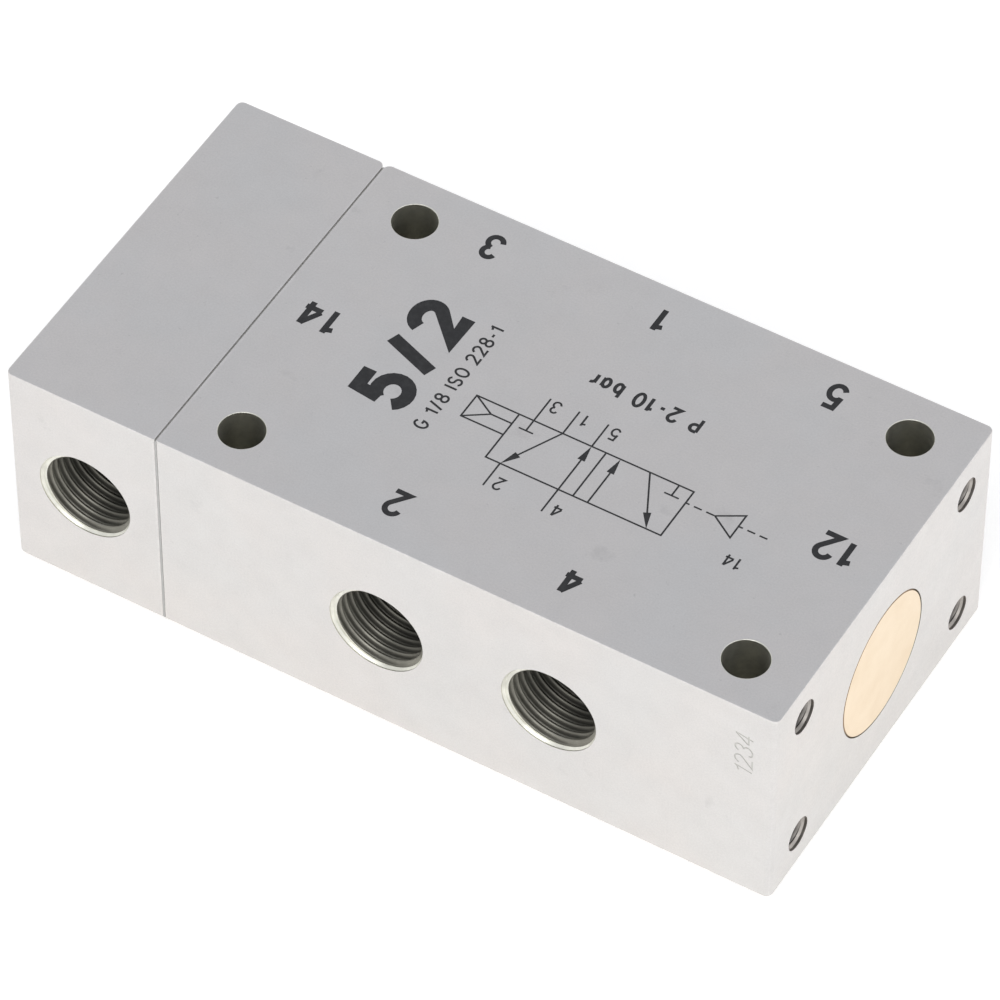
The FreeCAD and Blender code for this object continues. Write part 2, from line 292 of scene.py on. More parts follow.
def toned(colour, *factors):
    """A colour as RGBA, its channels multiplied by one factor or by three."""
    if len(factors) == 1:
        factors = factors * 3
    return (*(min(1.0, channel * factor) for channel, factor in zip(colour, factors)), 1.0)


# ---------------------------------------------------------------- settings


def length(name, description, default):
    """A length setting, in metres."""
    return FloatProperty(
        name=name, description=description, default=default, min=0.0, unit="LENGTH",
        subtype="DISTANCE", precision=5,
    )


def colour(name, description, default):
    """A colour setting."""
    return FloatVectorProperty(
        name=name, description=description, default=default, min=0.0, max=1.0, size=3,
        subtype="COLOR",
    )


def amount(name, description, default, highest=1.0):
    """A plain number setting."""
    return FloatProperty(name=name, description=description, default=default, min=0.0, max=highest)


class BlockSizes(bpy.types.PropertyGroup):
    """Edges of the two aluminium blocks."""

    corner_radius: length("Corner Radius", "Radius of the upright corners", 0.7 * MM)
    seam_radius: length("Seam Edge Radius", "Radius of the front edges at the gasket", 0.14 * MM)
    base_radius: length("Base Edge Radius", "Radius round the base", 0.5 * MM)
    top_break: length("Top Edge Break", "Fine break round the printed face", 0.15 * MM)
    corner_steps: IntProperty(name="Corner Steps", description="Facets in a corner", default=8, min=1)
    scribe_depth: length("Scribe Depth", "Depth of the scribed batch digits", 0.03 * MM)


class ThreadSizes(bpy.types.PropertyGroup):
    """The cut threads of ports and screw holes."""

    port_pitch: length("Port Pitch", "Pitch of the G1/8 thread", 0.907 * MM)
    steps_around: IntProperty(name="Steps Around", description="Facets in one turn", default=72, min=16)
    rows_per_turn: IntProperty(name="Rows per Turn", description="Rows in one pitch", default=12, min=6)
    screw_steps: IntProperty(name="Screw Steps", description="Facets in one M3 turn", default=32, min=12)
    screw_rows: IntProperty(name="Screw Rows", description="Rows in one M3 pitch", default=8, min=6)


class MarkSizes(bpy.types.PropertyGroup):
    """The printed marks on the top face."""

    digit_height: length("Digit Height", "Height of the port numbers", 3.25 * MM)
    digit_weight: amount("Digit Weight", "Stroke of the port numbers as a share of their height", 0.20)
    small_height: length("Small Digit Height", "Height of the symbol's numbers", 1.55 * MM)
    line_width: length("Line Width", "Width of the symbol's lines", 0.17 * MM)
    ink_height: length("Ink Height", "How far the ink stands out of the face", 0.008 * MM)
    range_words: StringProperty(name="Range", description="Pressure range", default="P 2-10 bar")
    kind_words: StringProperty(name="Kind", description="Ports and positions", default="5/2")
    thread_words: StringProperty(name="Thread", description="Port thread", default="G 1/8 ISO 228-1")


class Finishes(bpy.types.PropertyGroup):
    """Colours and roughness of the valve's materials."""

    aluminium: colour("Aluminium", "Satin anodised faces", (0.715, 0.695, 0.678))
    cut_aluminium: colour("Cut Aluminium", "Bores and threads", (0.29, 0.28, 0.24))
    brass: colour("Brass", "Turned brass", (0.870, 0.730, 0.550))
    ink: colour("Ink", "Printed marks", (0.006, 0.006, 0.007))
    aluminium_roughness: amount("Aluminium Roughness", "Roughness of the satin faces", 0.38)
    wear: amount("Edge Wear", "Bright wear along the edges", 0.5)


class StageSettings(bpy.types.PropertyGroup):
    """Camera, floor and lights."""

    lens: FloatProperty(name="Lens", description="Focal length", default=252.4, min=20, unit="CAMERA")
    distance: length("Camera Distance", "From the camera to the point it aims at", 642.03 * MM)
    azimuth: FloatProperty(name="Azimuth", description="Camera turn about Z", subtype="ANGLE",
                           default=math.radians(30.60))
    elevation: FloatProperty(name="Elevation", description="Camera height angle", subtype="ANGLE",
                             default=math.radians(49.06))
    roll: FloatProperty(name="Roll", description="Camera roll", subtype="ANGLE",
                        default=math.radians(0.175))
    floor_glow: amount("Floor Glow", "Light the floor gives by itself", 0.28, 5.0)
    sky_low: amount("Sky Low", "Brightness of the room near the horizon", 1.0, 5.0)
    sky_high: amount("Sky High", "Brightness of the room overhead", 0.69, 5.0)
    sky_tint: colour("Sky Tint", "Colour of the room overhead", (0.915, 0.940, 1.0))
    key_power: FloatProperty(name="Key Power", description="Main soft light", default=2.2, min=0,
                             unit="POWER")
    fill_power: FloatProperty(name="Fill Power", description="Fill light", default=1.0, min=0,
                              unit="POWER")


SETTINGS = {
    "valve_block": BlockSizes,
    "valve_threads": ThreadSizes,
    "valve_marks": MarkSizes,
    "valve_finishes": Finishes,
    "valve_stage": StageSettings,
}


def settings(name):
    return getattr(bpy.context.scene, name)


# ---------------------------------------------------------------- materials


def new_material(name):
    """An empty material: its graph, its shader and the piece's own coordinates."""
    material = bpy.data.materials.new(name)
    material.use_nodes = True
    material.node_tree.nodes.clear()
    graph = Graph(material.node_tree)
    shader = graph.add("ShaderNodeBsdfPrincipled")
    graph.add("ShaderNodeOutputMaterial", None, {"Surface": shader})
    place = graph.add("ShaderNodeTexCoord").other("Object")
    return material, graph, shader.socket.node, place


def finish_shader(shader, values):
    """Sets or links the shader's inputs."""
    for name, value in values.items():
        connect(value, shader.inputs[name])


def bumped(graph, height, distance, strength=1.0):
    inputs = {"Height": height, "Distance": distance, "Strength": strength}
    return graph.add("ShaderNodeBump", None, inputs)


def edge_nearness(graph, place, low, high, reach):
    """1 on the edges of a block, falling to 0 at that distance from them."""
    axes = graph.add("ShaderNodeSeparateXYZ", None, {0: place})
    gaps = []
    for name, a, b in zip("XYZ", low, high):
        along = axes.other(name)
        gaps.append((along - a).least(b - along))
    first, second, third = gaps
    middle = first.least(second).most(first.most(second).least(third))
    return 1.0 - middle.step_between(0.0, reach)


def satin_aluminium(name, low, high):
    """Fine-blasted, anodised aluminium with faint stains, hairlines and bright worn edges."""
    finishes = settings("valve_finishes")
    material, graph, shader, place = new_material(name)
    stains = graph.noise(place, 70.0, 4.0, 0.6)
    clouds = graph.noise(place, 340.0, 3.0, 0.6)
    grain = graph.noise(place, 5200.0, 2.0, 0.7)
    hairlines = graph.noise(graph.stretched(place, (160.0, 9000.0, 9000.0)), 1.0, 2.0, 0.6)
    metal = finishes.aluminium
    warm = toned(metal, 1.008, 0.998, 0.992)
    cool = toned(metal, 0.983, 0.992, 0.996)
    tone = graph.mix(stains.step_between(0.4, 0.62), warm, cool)
    mottled = (clouds.step_between(0.3, 0.75) * 0.20 + grain.step_between(0.35, 0.65) * 0.30).clamped()
    tone = graph.mix(mottled, tone, toned(metal, 0.80))
    smudges = graph.noise(place, 230.0, 5.0, 0.6).step_between(0.655, 0.74)
    specks = graph.noise(place, 1300.0, 3.0, 0.6).step_between(0.70, 0.78)
    marked = (smudges * 0.24 + specks * 0.35).clamped()
    tone = graph.mix(marked, tone, toned(metal, 0.62))
    chips = graph.noise(place, 900.0, 3.0, 0.7).step_between(0.38, 0.62)
    near = edge_nearness(graph, place, low, high, WEAR_REACH)
    worn = (near * chips * finishes.wear).clamped()
    tone = graph.mix(worn, tone, toned(metal, 1.22))
    rough = finishes.aluminium_roughness
    rough = rough - 0.05 + clouds * 0.07 + grain * 0.06 + hairlines * 0.05 - worn * 0.12
    height = grain * 0.75 + hairlines * 0.25 + clouds * 0.5
    finish_shader(shader, {
        "Base Color": tone,
        "Metallic": 1.0,
        "Roughness": rough,
        "Normal": bumped(graph, height, 0.006 * MM),
    })
    return material


def cut_metal(name, metal, darkest, rough, hole_shade=1.0, reach=4.5 * MM):
    """Drilled, tapped or scribed aluminium with an oily film, darkened as painted shade with depth in a
    hole, down to the given factor at the given reach.
    """
    material, graph, shader, place = new_material(name)
    film = graph.noise(place, 500.0, 3.0, 0.6)
    chatter = graph.noise(place, 9000.0, 2.0, 0.6)
    tone = graph.mix(film.step_between(0.35, 0.7), rgba(metal), toned(metal, darkest))
    if hole_shade < 1.0:
        # Painted shade: the colour darkens with depth into a hole, standing in for the shade that falls
        # there.
        axes = graph.add("ShaderNodeSeparateXYZ", None, {0: place})
        inside = (HALF_WIDTH - abs(axes.other("Y"))).least(BODY_HIGH.x - axes.other("X"))
        depth = inside.step_between(HOLE_SHADE_FROM, reach)
        tone = graph.mix(depth, tone, toned(metal, hole_shade))
    finish_shader(shader, {
        "Base Color": tone,
        "Metallic": 1.0,
        "Roughness": rough + film * 0.12 + chatter * 0.05,
        "Normal": bumped(graph, chatter, 0.004 * MM),
    })
    return material


def turned_metal(name, metal, rough, rim=0.0):
    """Metal with the fine rings of a turning tool about the valve's axis, with painted shade of the gap
    outside the rim.
    """
    material, graph, shader, place = new_material(name)
    axes = graph.add("ShaderNodeSeparateXYZ", None, {0: place})
    across = axes.other("Y")
    up = axes.other("Z") - AXIS_Z
    radius = (across * across + up * up) ** 0.5
    rings = graph.add("ShaderNodeCombineXYZ", None, {"X": radius, "Y": axes.other("X")})
    rings = graph.noise(graph.stretched(rings, (9000.0, 9000.0, 0.0)), 1.0, 2.0, 0.6)
    clouds = graph.noise(place, 260.0, 4.0, 0.6)
    grain = graph.noise(place, 6500.0, 2.0, 0.6)
    dulled = clouds.step_between(0.35, 0.72) * 0.6 + rings * 0.2
    tone = graph.mix(dulled, rgba(metal), toned(metal, 0.90, 0.86, 0.80))
    if rim:
        # Painted shade: a dark brown band outside the rim radius stands in for the shadow in the gap
        # between the plug's nose and the bore.
        gap_shade = radius.step_between(rim - RIM_SOFTNESS, rim)
        tone = graph.mix(gap_shade, tone, toned(metal, 0.27, 0.20, 0.13))
    finish_shader(shader, {
        "Base Color": tone,
        "Metallic": 1.0,
        "Roughness": rough + rings * 0.10 + clouds * 0.06 - 0.05,
        "Normal": bumped(graph, rings * 0.8 + grain * 0.2, 0.003 * MM),
    })
    return material


def zinc_steel(name):
    """Zinc-plated steel with a slightly cloudy passivation."""
    material, graph, shader, place = new_material(name)
    clouds = graph.noise(place, 700.0, 3.0, 0.6)
    grain = graph.noise(place, 8000.0, 2.0, 0.6)
    tone = graph.mix(clouds.step_between(0.35, 0.7), (0.62, 0.62, 0.63, 1), (0.50, 0.51, 0.54, 1))
    finish_shader(shader, {
        "Base Color": tone,
        "Metallic": 1.0,
        "Roughness": 0.27 + clouds * 0.12 + grain * 0.04,
        "Normal": bumped(graph, grain, 0.004 * MM),
    })
    return material


def dull_piece(name, light, dark, rough, scale, bump):
    """Rubber, gasket sheet or moulded plastic: two close tones, fine grain and uneven gloss."""
    material, graph, shader, place = new_material(name)
    clouds = graph.noise(place, scale, 4.0, 0.6)
    grain = graph.noise(place, scale * 12.0, 2.0, 0.6)
    mixed = clouds.step_between(0.3, 0.7) * 0.7 + grain * 0.3
    finish_shader(shader, {
        "Base Color": graph.mix(mixed, rgba(light), rgba(dark)),
        "Roughness": rough - 0.06 + clouds * 0.08 + grain * 0.06,
        "Normal": bumped(graph, grain + clouds * 0.5, bump),
    })
    return material


def printing_ink(name):
    """Pad-printed black ink, a little thin and matt in places."""
    finishes = settings("valve_finishes")
    material, graph, shader, place = new_material(name)
    patches = graph.noise(place, 1400.0, 4.0, 0.65)
    grain = graph.noise(place, 9000.0, 2.0, 0.7)
    thin = (patches.step_between(0.45, 0.8) * 0.5 + grain.step_between(0.55, 0.8) * 0.4).clamped()
    ink = finishes.ink
    worn = tuple(channel + 0.035 for channel in ink)
    finish_shader(shader, {
        "Base Color": graph.mix(thin, rgba(ink), rgba(worn)),
        "Roughness": 0.42 + patches * 0.16 + grain * 0.06,
        "Normal": bumped(graph, grain, 0.003 * MM),
    })
    return material


def finish(name):
    """The valve's material of that name, made once."""
    if name in bpy.data.materials:
        return bpy.data.materials[name]
    finishes = settings("valve_finishes")
    makers = {
        "satin_body": lambda: satin_aluminium(name, BODY_LOW, BODY_HIGH),
        "satin_cover": lambda: satin_aluminium(name, COVER_LOW, COVER_HIGH),
        # Bores and taps get painted shade down to 0.40 of their tone deep in a hole, screw holes down to
        # 0.08 by 0.9 mm in.
        "cut_aluminium": lambda: cut_metal(name, finishes.cut_aluminium, 0.70, 0.33, 0.40),
        "scribed_aluminium": lambda: cut_metal(name, (0.60, 0.59, 0.56), 0.85, 0.40),
        "drilled_aluminium": lambda: cut_metal(name, (0.82, 0.81, 0.73), 0.75, 0.31),
        "screw_aluminium": lambda: cut_metal(
            name, (0.46, 0.43, 0.40), 0.60, 0.28, 0.08, 0.9 * MM),
        # The plug's chamfered nose gets painted shade of its gap against the bore.
        "plug_brass": lambda: turned_metal(name, finishes.brass, 0.33, PLUG_NOSE_RADIUS - PLUG_EDGE),
        "bush_brass": lambda: turned_metal(name, finishes.brass, 0.33),
        "ground_spool": lambda: turned_metal(name, (0.60, 0.61, 0.63), 0.22),
        "zinc_steel": lambda: zinc_steel(name),
        "nitrile_rubber": lambda: dull_piece(
            name, (0.022, 0.022, 0.024), (0.012, 0.012, 0.013), 0.42, 900.0, 0.004 * MM),
        "pressed_gasket": lambda: dull_piece(
            name, (0.44, 0.435, 0.42), (0.36, 0.355, 0.345), 0.75, 1500.0, 0.008 * MM),
        "moulded_acetal": lambda: dull_piece(
            name, (0.80, 0.79, 0.74), (0.70, 0.69, 0.64), 0.45, 600.0, 0.004 * MM),
        "black_acetal": lambda: dull_piece(
            name, (0.030, 0.030, 0.034), (0.018, 0.018, 0.020), 0.40, 600.0, 0.004 * MM),
        "printing_ink": lambda: printing_ink(name),
    }
    return makers[name]()


# ---------------------------------------------------------------- meshes


def facing(origin, direction):
    """The matrix that puts a shape made along +Z at a place, pointing that way."""
    turn = Vector(direction).to_track_quat("Z", "Y").to_matrix().to_4x4()
    return Matrix.Translation(origin) @ turn


def outward(mesh):
    """The same mesh with every face turned outward."""
    bmesh.ops.recalc_face_normals(mesh, faces=mesh.faces[:])
    return mesh


def skin(mesh, first, second):
    """Joins two closed rows of corners by a band of faces."""
    for k in range(len(first)):
        after = (k + 1) % len(first)
        mesh.faces.new([first[k], first[after], second[after], second[k]])


def lathe(profile, steps, place):
    """A closed turned shape: profile is (distance along, radius), and radius 0 is the axis."""
    mesh = bmesh.new()
    rings = []
    for along, radius in profile:
        if radius == 0:
            rings.append([mesh.verts.new((0, 0, along))])
            continue
        turn = 2 * math.pi / steps
        points = [(radius * math.cos(turn * k), radius * math.sin(turn * k), along) for k in range(steps)]
        rings.append([mesh.verts.new(point) for point in points])
    pairs = list(zip(rings, rings[1:]))
    if profile[0][1] or profile[-1][1]:
        pairs.append((rings[-1], rings[0]))
    for first, second in pairs:
        for k in range(steps):
            corners = [first[k % len(first)], first[(k + 1) % len(first)]]
            corners += [second[(k + 1) % len(second)], second[k % len(second)]]
            corners = list(dict.fromkeys(corners))
            if len(corners) > 2:
                mesh.faces.new(corners)
    outward(mesh).transform(place)
    return mesh


def stepped(start, *spans):
    """Profile points of straight steps from start on; a span is (where it ends, its radius)."""
    points = []
    for end, radius in spans:
        points += [(start, radius), (end, radius)]
        start = end
    return points


def turned(inner, start, *spans):
    """A stepped profile closed by a straight bore of the inner radius, which is 0 for a solid one."""
    points = stepped(start, *spans)
    return [(start, inner), *points, (points[-1][0], inner)]


def eased(profile, ease):
    """A turned profile with each corner off the axis cut back by that much."""
    points = [Vector(point) for point in profile]
    made = []
    for k, point in enumerate(points):
        if point.y == 0:
            made.append(tuple(point))
            continue
        for other in (points[k - 1], points[(k + 1) % len(points)]):
            way = other - point
            made.append(tuple(point + way.normalized() * min(ease, way.length / 3)))
    return made


def round_profile(section, middle):
    """The round section of an O-ring of that middle radius."""
    angles = [2 * math.pi * k / RING_STEPS for k in range(RING_STEPS)]
    return [(section / 2 * math.cos(angle), middle + section / 2 * math.sin(angle)) for angle in angles]


def rounded_edge(radius, steps):
    """A quarter round, as (depth below the face, distance in from the side)."""
    turns = [math.radians(90 * k / steps) for k in range(steps + 1)]
    return [(radius * (1 - math.cos(turn)), radius * (1 - math.sin(turn))) for turn in turns]


def block_outline(low, high, radii, steps):
    """Points round a rectangle, each corner with its own radius, from the low corner on."""
    corners = ((low.x, low.y), (high.x, low.y), (high.x, high.y), (low.x, high.y))
    points = []
    for quarter, ((x, y), radius) in enumerate(zip(corners, radii)):
        middle_x = x + radius * (1 if x == low.x else -1)
        middle_y = y + radius * (1 if y == low.y else -1)
        for k in range(steps + 1):
            angle = math.radians(180 + 90 * (quarter + k / steps))
            points.append((middle_x + radius * math.cos(angle), middle_y + radius * math.sin(angle)))
    return points


def eased_block(low, high, sizes, seam_x):
    """A block rounded at its upright corners and base and broken round the top, with a tight front seam."""
    base = rounded_edge(sizes.base_radius, EDGE_STEPS)
    top = rounded_edge(sizes.top_break, TOP_BREAK_STEPS)
    levels = [(low.z + depth, inset) for depth, inset in base]
    levels += [(high.z - depth, inset) for depth, inset in reversed(top)]
    at_low = seam_x == low.x
    rounding = [sizes.corner_radius] * 4
    rounding[0 if at_low else 1] = sizes.seam_radius
    mesh = bmesh.new()
    rings = []
    for z, inset in levels:
        inner_low = Vector((low.x + (0.0 if at_low else inset), low.y + inset))
        inner_high = Vector((high.x - (inset if at_low else 0.0), high.y - inset))
        radii = [max(radius - inset, SMALLEST_RADIUS) for radius in rounding]
        outline = block_outline(inner_low, inner_high, radii, sizes.corner_steps)
        rings.append([mesh.verts.new((x, y, z)) for x, y in outline])
    for first, second in zip(rings, rings[1:]):
        skin(mesh, first, second)
    mesh.faces.new(rings[0])
    mesh.faces.new(rings[-1])
    return outward(mesh)


def joined(meshes):
    """Several shapes as one, which must not touch each other."""
    whole = bmesh.new()
    for part in meshes:
        scratch = bpy.data.meshes.new("scratch")
        part.to_mesh(scratch)
        part.free()
        whole.from_mesh(scratch)
        bpy.data.meshes.remove(scratch)
    return whole


def mesh_data(name, mesh, materials, index=0):
    """Turns a bmesh into mesh data with these materials, every face on one of them."""
    data = bpy.data.meshes.new(name)
    for face in mesh.faces:
        face.material_index = index
    mesh.to_mesh(data)
    mesh.free()
    for material in materials:
        data.materials.append(finish(material))
    return data


def scene_object(name, data):
    item = bpy.data.objects.new(name, data)
    bpy.context.scene.collection.objects.link(item)
    return item


def mesh_object(name, mesh, materials, index=0):
    """A scene object made from a bmesh, every face on one material."""
    return scene_object(name, mesh_data(name, mesh, materials, index))


def evaluated_mesh(item):
    """The object's mesh with its modifiers run."""
    graph = bpy.context.evaluated_depsgraph_get()
    graph.update()
    return bpy.data.meshes.new_from_object(item.evaluated_get(graph))


def settle(item):
    """Replaces an object's mesh and modifiers by their result."""
    data = evaluated_mesh(item)
    item.modifiers.clear()
    old = item.data
    item.data = data
    bpy.data.meshes.remove(old)
    return item


def combine(item, others, operation="DIFFERENCE", solver="MANIFOLD", transfer=False):
    """Cuts or joins other objects into one, in order, then removes them."""
    for other in others:
        modifier = item.modifiers.new(other.name, "BOOLEAN")
        modifier.object = other
        modifier.operation = operation
        modifier.solver = solver
        if transfer:
            modifier.material_mode = "TRANSFER"
    before = len(item.data.polygons)
    settle(item)
    if len(item.data.polygons) <= before:
        raise RuntimeError("the cut of " + item.name + " changed nothing")
    for other in others:
        bpy.data.objects.remove(other)
    return item


def shade(item):
    """Smooth faces, sharp edges at real corners, and flat faces kept flat beside small radii."""
    data = item.data
    data.polygons.foreach_set("use_smooth", [True] * len(data.polygons))
    data.set_sharp_from_angle(angle=SMOOTH_ANGLE)
    modifier = item.modifiers.new("flat_faces", "WEIGHTED_NORMAL")
    modifier.mode = "FACE_AREA_WITH_ANGLE"
    modifier.weight = 100
    modifier.keep_sharp = True
    return settle(item)


def turned_piece(name, material, profile, x, cuts=()):
    """A piece turned about the valve's axis from x on, with shapes cut out of it one after another."""
    mesh = lathe(profile, BORE_STEPS, facing((x, 0, AXIS_Z), X_AXIS))
    item = mesh_object(name, mesh, [material])
    if cuts:
        combine(item, [mesh_object("cut", cut, [material]) for cut in cuts])
    return shade(item)


def moved_copy(name, item, x):
    """Another piece with the same mesh, that much further along X."""
    data = item.data.copy()
    data.transform(Matrix.Translation((x, 0, 0)))
    return scene_object(name, data)


def stand_in(item, body, slot, *nodes):
    """Puts a finished piece on its body in place of its CAD nodes."""
    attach(item, body)
    if nodes:
        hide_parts(*nodes)
    return item


# ---------------------------------------------------------------- Geometry Nodes


def new_tree(name, inputs):
    """A Geometry Nodes tree with named inputs: its graph, its input wires and its output node."""
    tree = bpy.data.node_groups.new(name, "GeometryNodeTree")
    tree.interface.new_socket("Geometry", in_out="INPUT", socket_type="NodeSocketGeometry")
    tree.interface.new_socket("Geometry", in_out="OUTPUT", socket_type="NodeSocketGeometry")
    for label, kind in inputs.items():
        tree.interface.new_socket(label, in_out="INPUT", socket_type="NodeSocket" + kind)
    graph = Graph(tree)
    start = graph.add("NodeGroupInput")
    wires = {label: start.other(label) for label in ["Geometry", *inputs]}
    return graph, wires


def close_tree(graph, geometry, material):
    """Ends a tree in Realize Instances and Set Material."""
    real = graph.add("GeometryNodeRealizeInstances", None, {"Geometry": geometry})
    painted = graph.add("GeometryNodeSetMaterial", None, {"Geometry": real, "Material": material})
    graph.add("NodeGroupOutput", None, {0: painted})


def threaded_rod_tree(name):
    """A closed threaded rod along +Z, right-handed: a tap for a hole, or a screw's shank."""
    graph, given = new_tree(name, {
        "Pitch": "Float", "Length": "Float", "Inner Radius": "Float", "Outer Radius": "Float",
        "Run Out": "Float", "Fullness": "Float", "Steps Around": "Int", "Rows per Turn": "Int",
        "Material": "Material",
    })
    turns = given["Length"] / given["Pitch"] + 2.0
    rows = (turns * given["Rows per Turn"]).math("CEIL")
    turns = rows / given["Rows per Turn"]
    grid = graph.add("GeometryNodeMeshGrid", None, {
        "Size X": 1.0, "Size Y": 1.0, "Vertices X": given["Steps Around"] + 1.0, "Vertices Y": rows + 1.0,
    })
    flat = graph.add("ShaderNodeSeparateXYZ", None, {0: graph.add("GeometryNodeInputPosition")})
    around = flat.other("X") + 0.5
    row = (flat.other("Y") + 0.5) * turns - 1.0
    height = (row + around) * given["Pitch"]
    tooth = (0.5 - (row * (2 * math.pi)).math("COSINE") * given["Fullness"]).clamped()
    fading = ((given["Length"] - height) / given["Run Out"]).clamped()
    radius = given["Inner Radius"] + (given["Outer Radius"] - given["Inner Radius"]) * tooth * fading
    row_height = given["Pitch"] / given["Rows per Turn"]
    first = row_height * 0.5
    last = ((given["Length"] / row_height).math("FLOOR") - 0.5) * row_height
    above = height.math("GREATER_THAN", first)
    below = last.math("GREATER_THAN", height)
    radius = radius * above * below
    angle = around * (2 * math.pi)
    point = graph.add("ShaderNodeCombineXYZ", None, {
        "X": radius * angle.math("COSINE"),
        "Y": radius * angle.math("SINE"),
        "Z": height.most(first).least(last),
    })
    placed = graph.add("GeometryNodeSetPosition", None, {"Geometry": grid, "Position": point})
    welded = graph.add("GeometryNodeMergeByDistance", None, {"Geometry": placed, "Distance": WELD_DISTANCE})
    close_tree(graph, welded, given["Material"])


def repeat_round_tree(name):
    """The given shape repeated evenly round the Z axis."""
    graph, given = new_tree(name, {"Count": "Int", "Material": "Material"})
    points = graph.add("GeometryNodePoints", None, {"Count": given["Count"], "Position": (0, 0, 0)})
    index = graph.add("GeometryNodeInputIndex")
    turn = index * (2 * math.pi) / given["Count"]
    spin = graph.add("ShaderNodeCombineXYZ", None, {"Z": turn})
    copies = graph.add("GeometryNodeInstanceOnPoints", None, {
        "Points": points, "Instance": given["Geometry"], "Rotation": spin,
    })
    close_tree(graph, copies, given["Material"])


def four_places_tree(name):
    """The given shape at the four corners of a rectangle in the YZ plane."""
    graph, given = new_tree(name, {
        "Spacing Across": "Float", "Spacing Up": "Float", "Centre Height": "Float",
        "Material": "Material",
    })
    grid = graph.add("GeometryNodeMeshGrid", None, {
        "Size X": given["Spacing Across"], "Size Y": given["Spacing Up"],
        "Vertices X": 2, "Vertices Y": 2,
    })
    flat = graph.add("ShaderNodeSeparateXYZ", None, {0: graph.add("GeometryNodeInputPosition")})
    upright = graph.add("ShaderNodeCombineXYZ", None, {
        "Y": flat.other("X"), "Z": flat.other("Y") + given["Centre Height"],
    })
    placed = graph.add("GeometryNodeSetPosition", None, {"Geometry": grid, "Position": upright})
    copies = graph.add("GeometryNodeInstanceOnPoints", None, {
        "Points": placed, "Instance": given["Geometry"],
    })
    close_tree(graph, copies, given["Material"])


def merged_strokes_tree(name):
    """Overlapping strokes made into one skin without inner walls."""
    graph, given = new_tree(name, {"Material": "Material"})
    skin = graph.add("GeometryNodeMeshBoolean", {"operation": "UNION", "solver": "EXACT"}, {
        "Mesh 2": given["Geometry"], "Self Intersection": True,
    })
    close_tree(graph, skin, given["Material"])


TREES = {
    "Threaded Rod": threaded_rod_tree,
    "Repeat Round": repeat_round_tree,
    "Four Places": four_places_tree,
    "Merged Strokes": merged_strokes_tree,
}


def run_tree(name, source, values):
    """Runs a tree, made at its first use, on mesh data and gives the resulting mesh data."""
    if name not in bpy.data.node_groups:
        TREES[name](name)
    tree = bpy.data.node_groups[name]
    item = scene_object("tree_run", source)
    modifier = item.modifiers.new("tree", "NODES")
    modifier.node_group = tree
    sockets = {socket.name: socket.identifier for socket in tree.interface.items_tree
               if socket.in_out == "INPUT"}
    for label, value in values.items():
        modifier[sockets[label]] = value
    data = evaluated_mesh(item)
    bpy.data.objects.remove(item)
    return data


def round_the_axis(mesh, count, x):
    """Copies of a shape evenly round Z, laid along the valve's axis at x."""
    material = finish("cut_aluminium")
    data = mesh_data("around", mesh, ["cut_aluminium"])
    data = run_tree("Repeat Round", data, {"Count": count, "Material": material})
    made = bmesh.new()
    made.from_mesh(data)
    bpy.data.meshes.remove(data)
    made.transform(facing((x, 0, AXIS_Z), X_AXIS))
    return made


def threaded_rod(pitch, length_, inner, outer, run_out, steps, rows, place):
    """A threaded rod as a bmesh, at its place."""
    values = {
        "Pitch": pitch, "Length": length_, "Inner Radius": inner, "Outer Radius": outer,
        "Run Out": run_out, "Fullness": THREAD_FULLNESS, "Steps Around": steps, "Rows per Turn": rows,
        "Material": finish("cut_aluminium"),
    }
    data = run_tree("Threaded Rod", bpy.data.meshes.new("blank"), values)
    mesh = bmesh.new()
    mesh.from_mesh(data)
    bpy.data.meshes.remove(data)
    outward(mesh).transform(place)
    return mesh


# ---------------------------------------------------------------- holes


def outer_face(mount):
    """The point on the block's face where a port's axis comes out, and the way in."""
    axis = Vector(mount["axis"])
    point = Vector(mount["pos_m"])
    point.y = axis.y * HALF_WIDTH
    return point, -axis


def port_drill(mount, tip):
    """The drilled hole of a port, down to the given list of (depth, radius) behind the drill."""
    point, inward = outer_face(mount)
    steps = settings("valve_threads").steps_around
    profile = [(-OVERSHOOT, 0), (-OVERSHOOT, TAP_DRILL_RADIUS)] + tip
    return lathe(profile, steps, facing(point, inward))


def port_depth(mount):
    """Depth of the full thread from the block's face."""
    return mount["dims"]["length_mm"] * MM + HALF_WIDTH - abs(mount["pos_m"][1])


def gallery_tip(mount):
    """The drill's end, its point and the passage into the main bore."""
    end = port_depth(mount) + DRILL_EXTRA
    point = end + (TAP_DRILL_RADIUS - PASSAGE_RADIUS) / math.tan(DRILL_HALF_ANGLE)
    inside = HALF_WIDTH - BORE_RADIUS / 2
    return [(end, TAP_DRILL_RADIUS), (point, PASSAGE_RADIUS), (inside, PASSAGE_RADIUS), (inside, 0)]


def port_thread(mount):
    """The tap of a port's thread."""
    threads = settings("valve_threads")
    point, inward = outer_face(mount)
    lead = OVERSHOOT + threads.port_pitch / 2
    outer = mount["dims"]["r_mm"] * MM
    return threaded_rod(
        threads.port_pitch, port_depth(mount) + lead, THREAD_CREST_RADIUS, outer,
        threads.port_pitch, threads.steps_around, threads.rows_per_turn,
        facing(point - inward * lead, inward),
    )


def cone_mouth(point, inward, radius, lip, depth, steps):
    """A mouth of that radius: a short straight lip, then a 45 degree cone of that depth."""
    profile = [(-OVERSHOOT, 0), (-OVERSHOOT, radius), (lip, radius), (lip + depth, radius - depth)]
    return lathe(profile + [(lip + depth, 0)], steps, facing(point, inward))


def port_mouth(mount):
    """The countersunk mouth of a port."""
    point, inward = outer_face(mount)
    steps = settings("valve_threads").steps_around
    return cone_mouth(point, inward, PORT_MOUTH_RADIUS, PORT_MOUTH_LIP, PORT_MOUTH_DEPTH, steps)


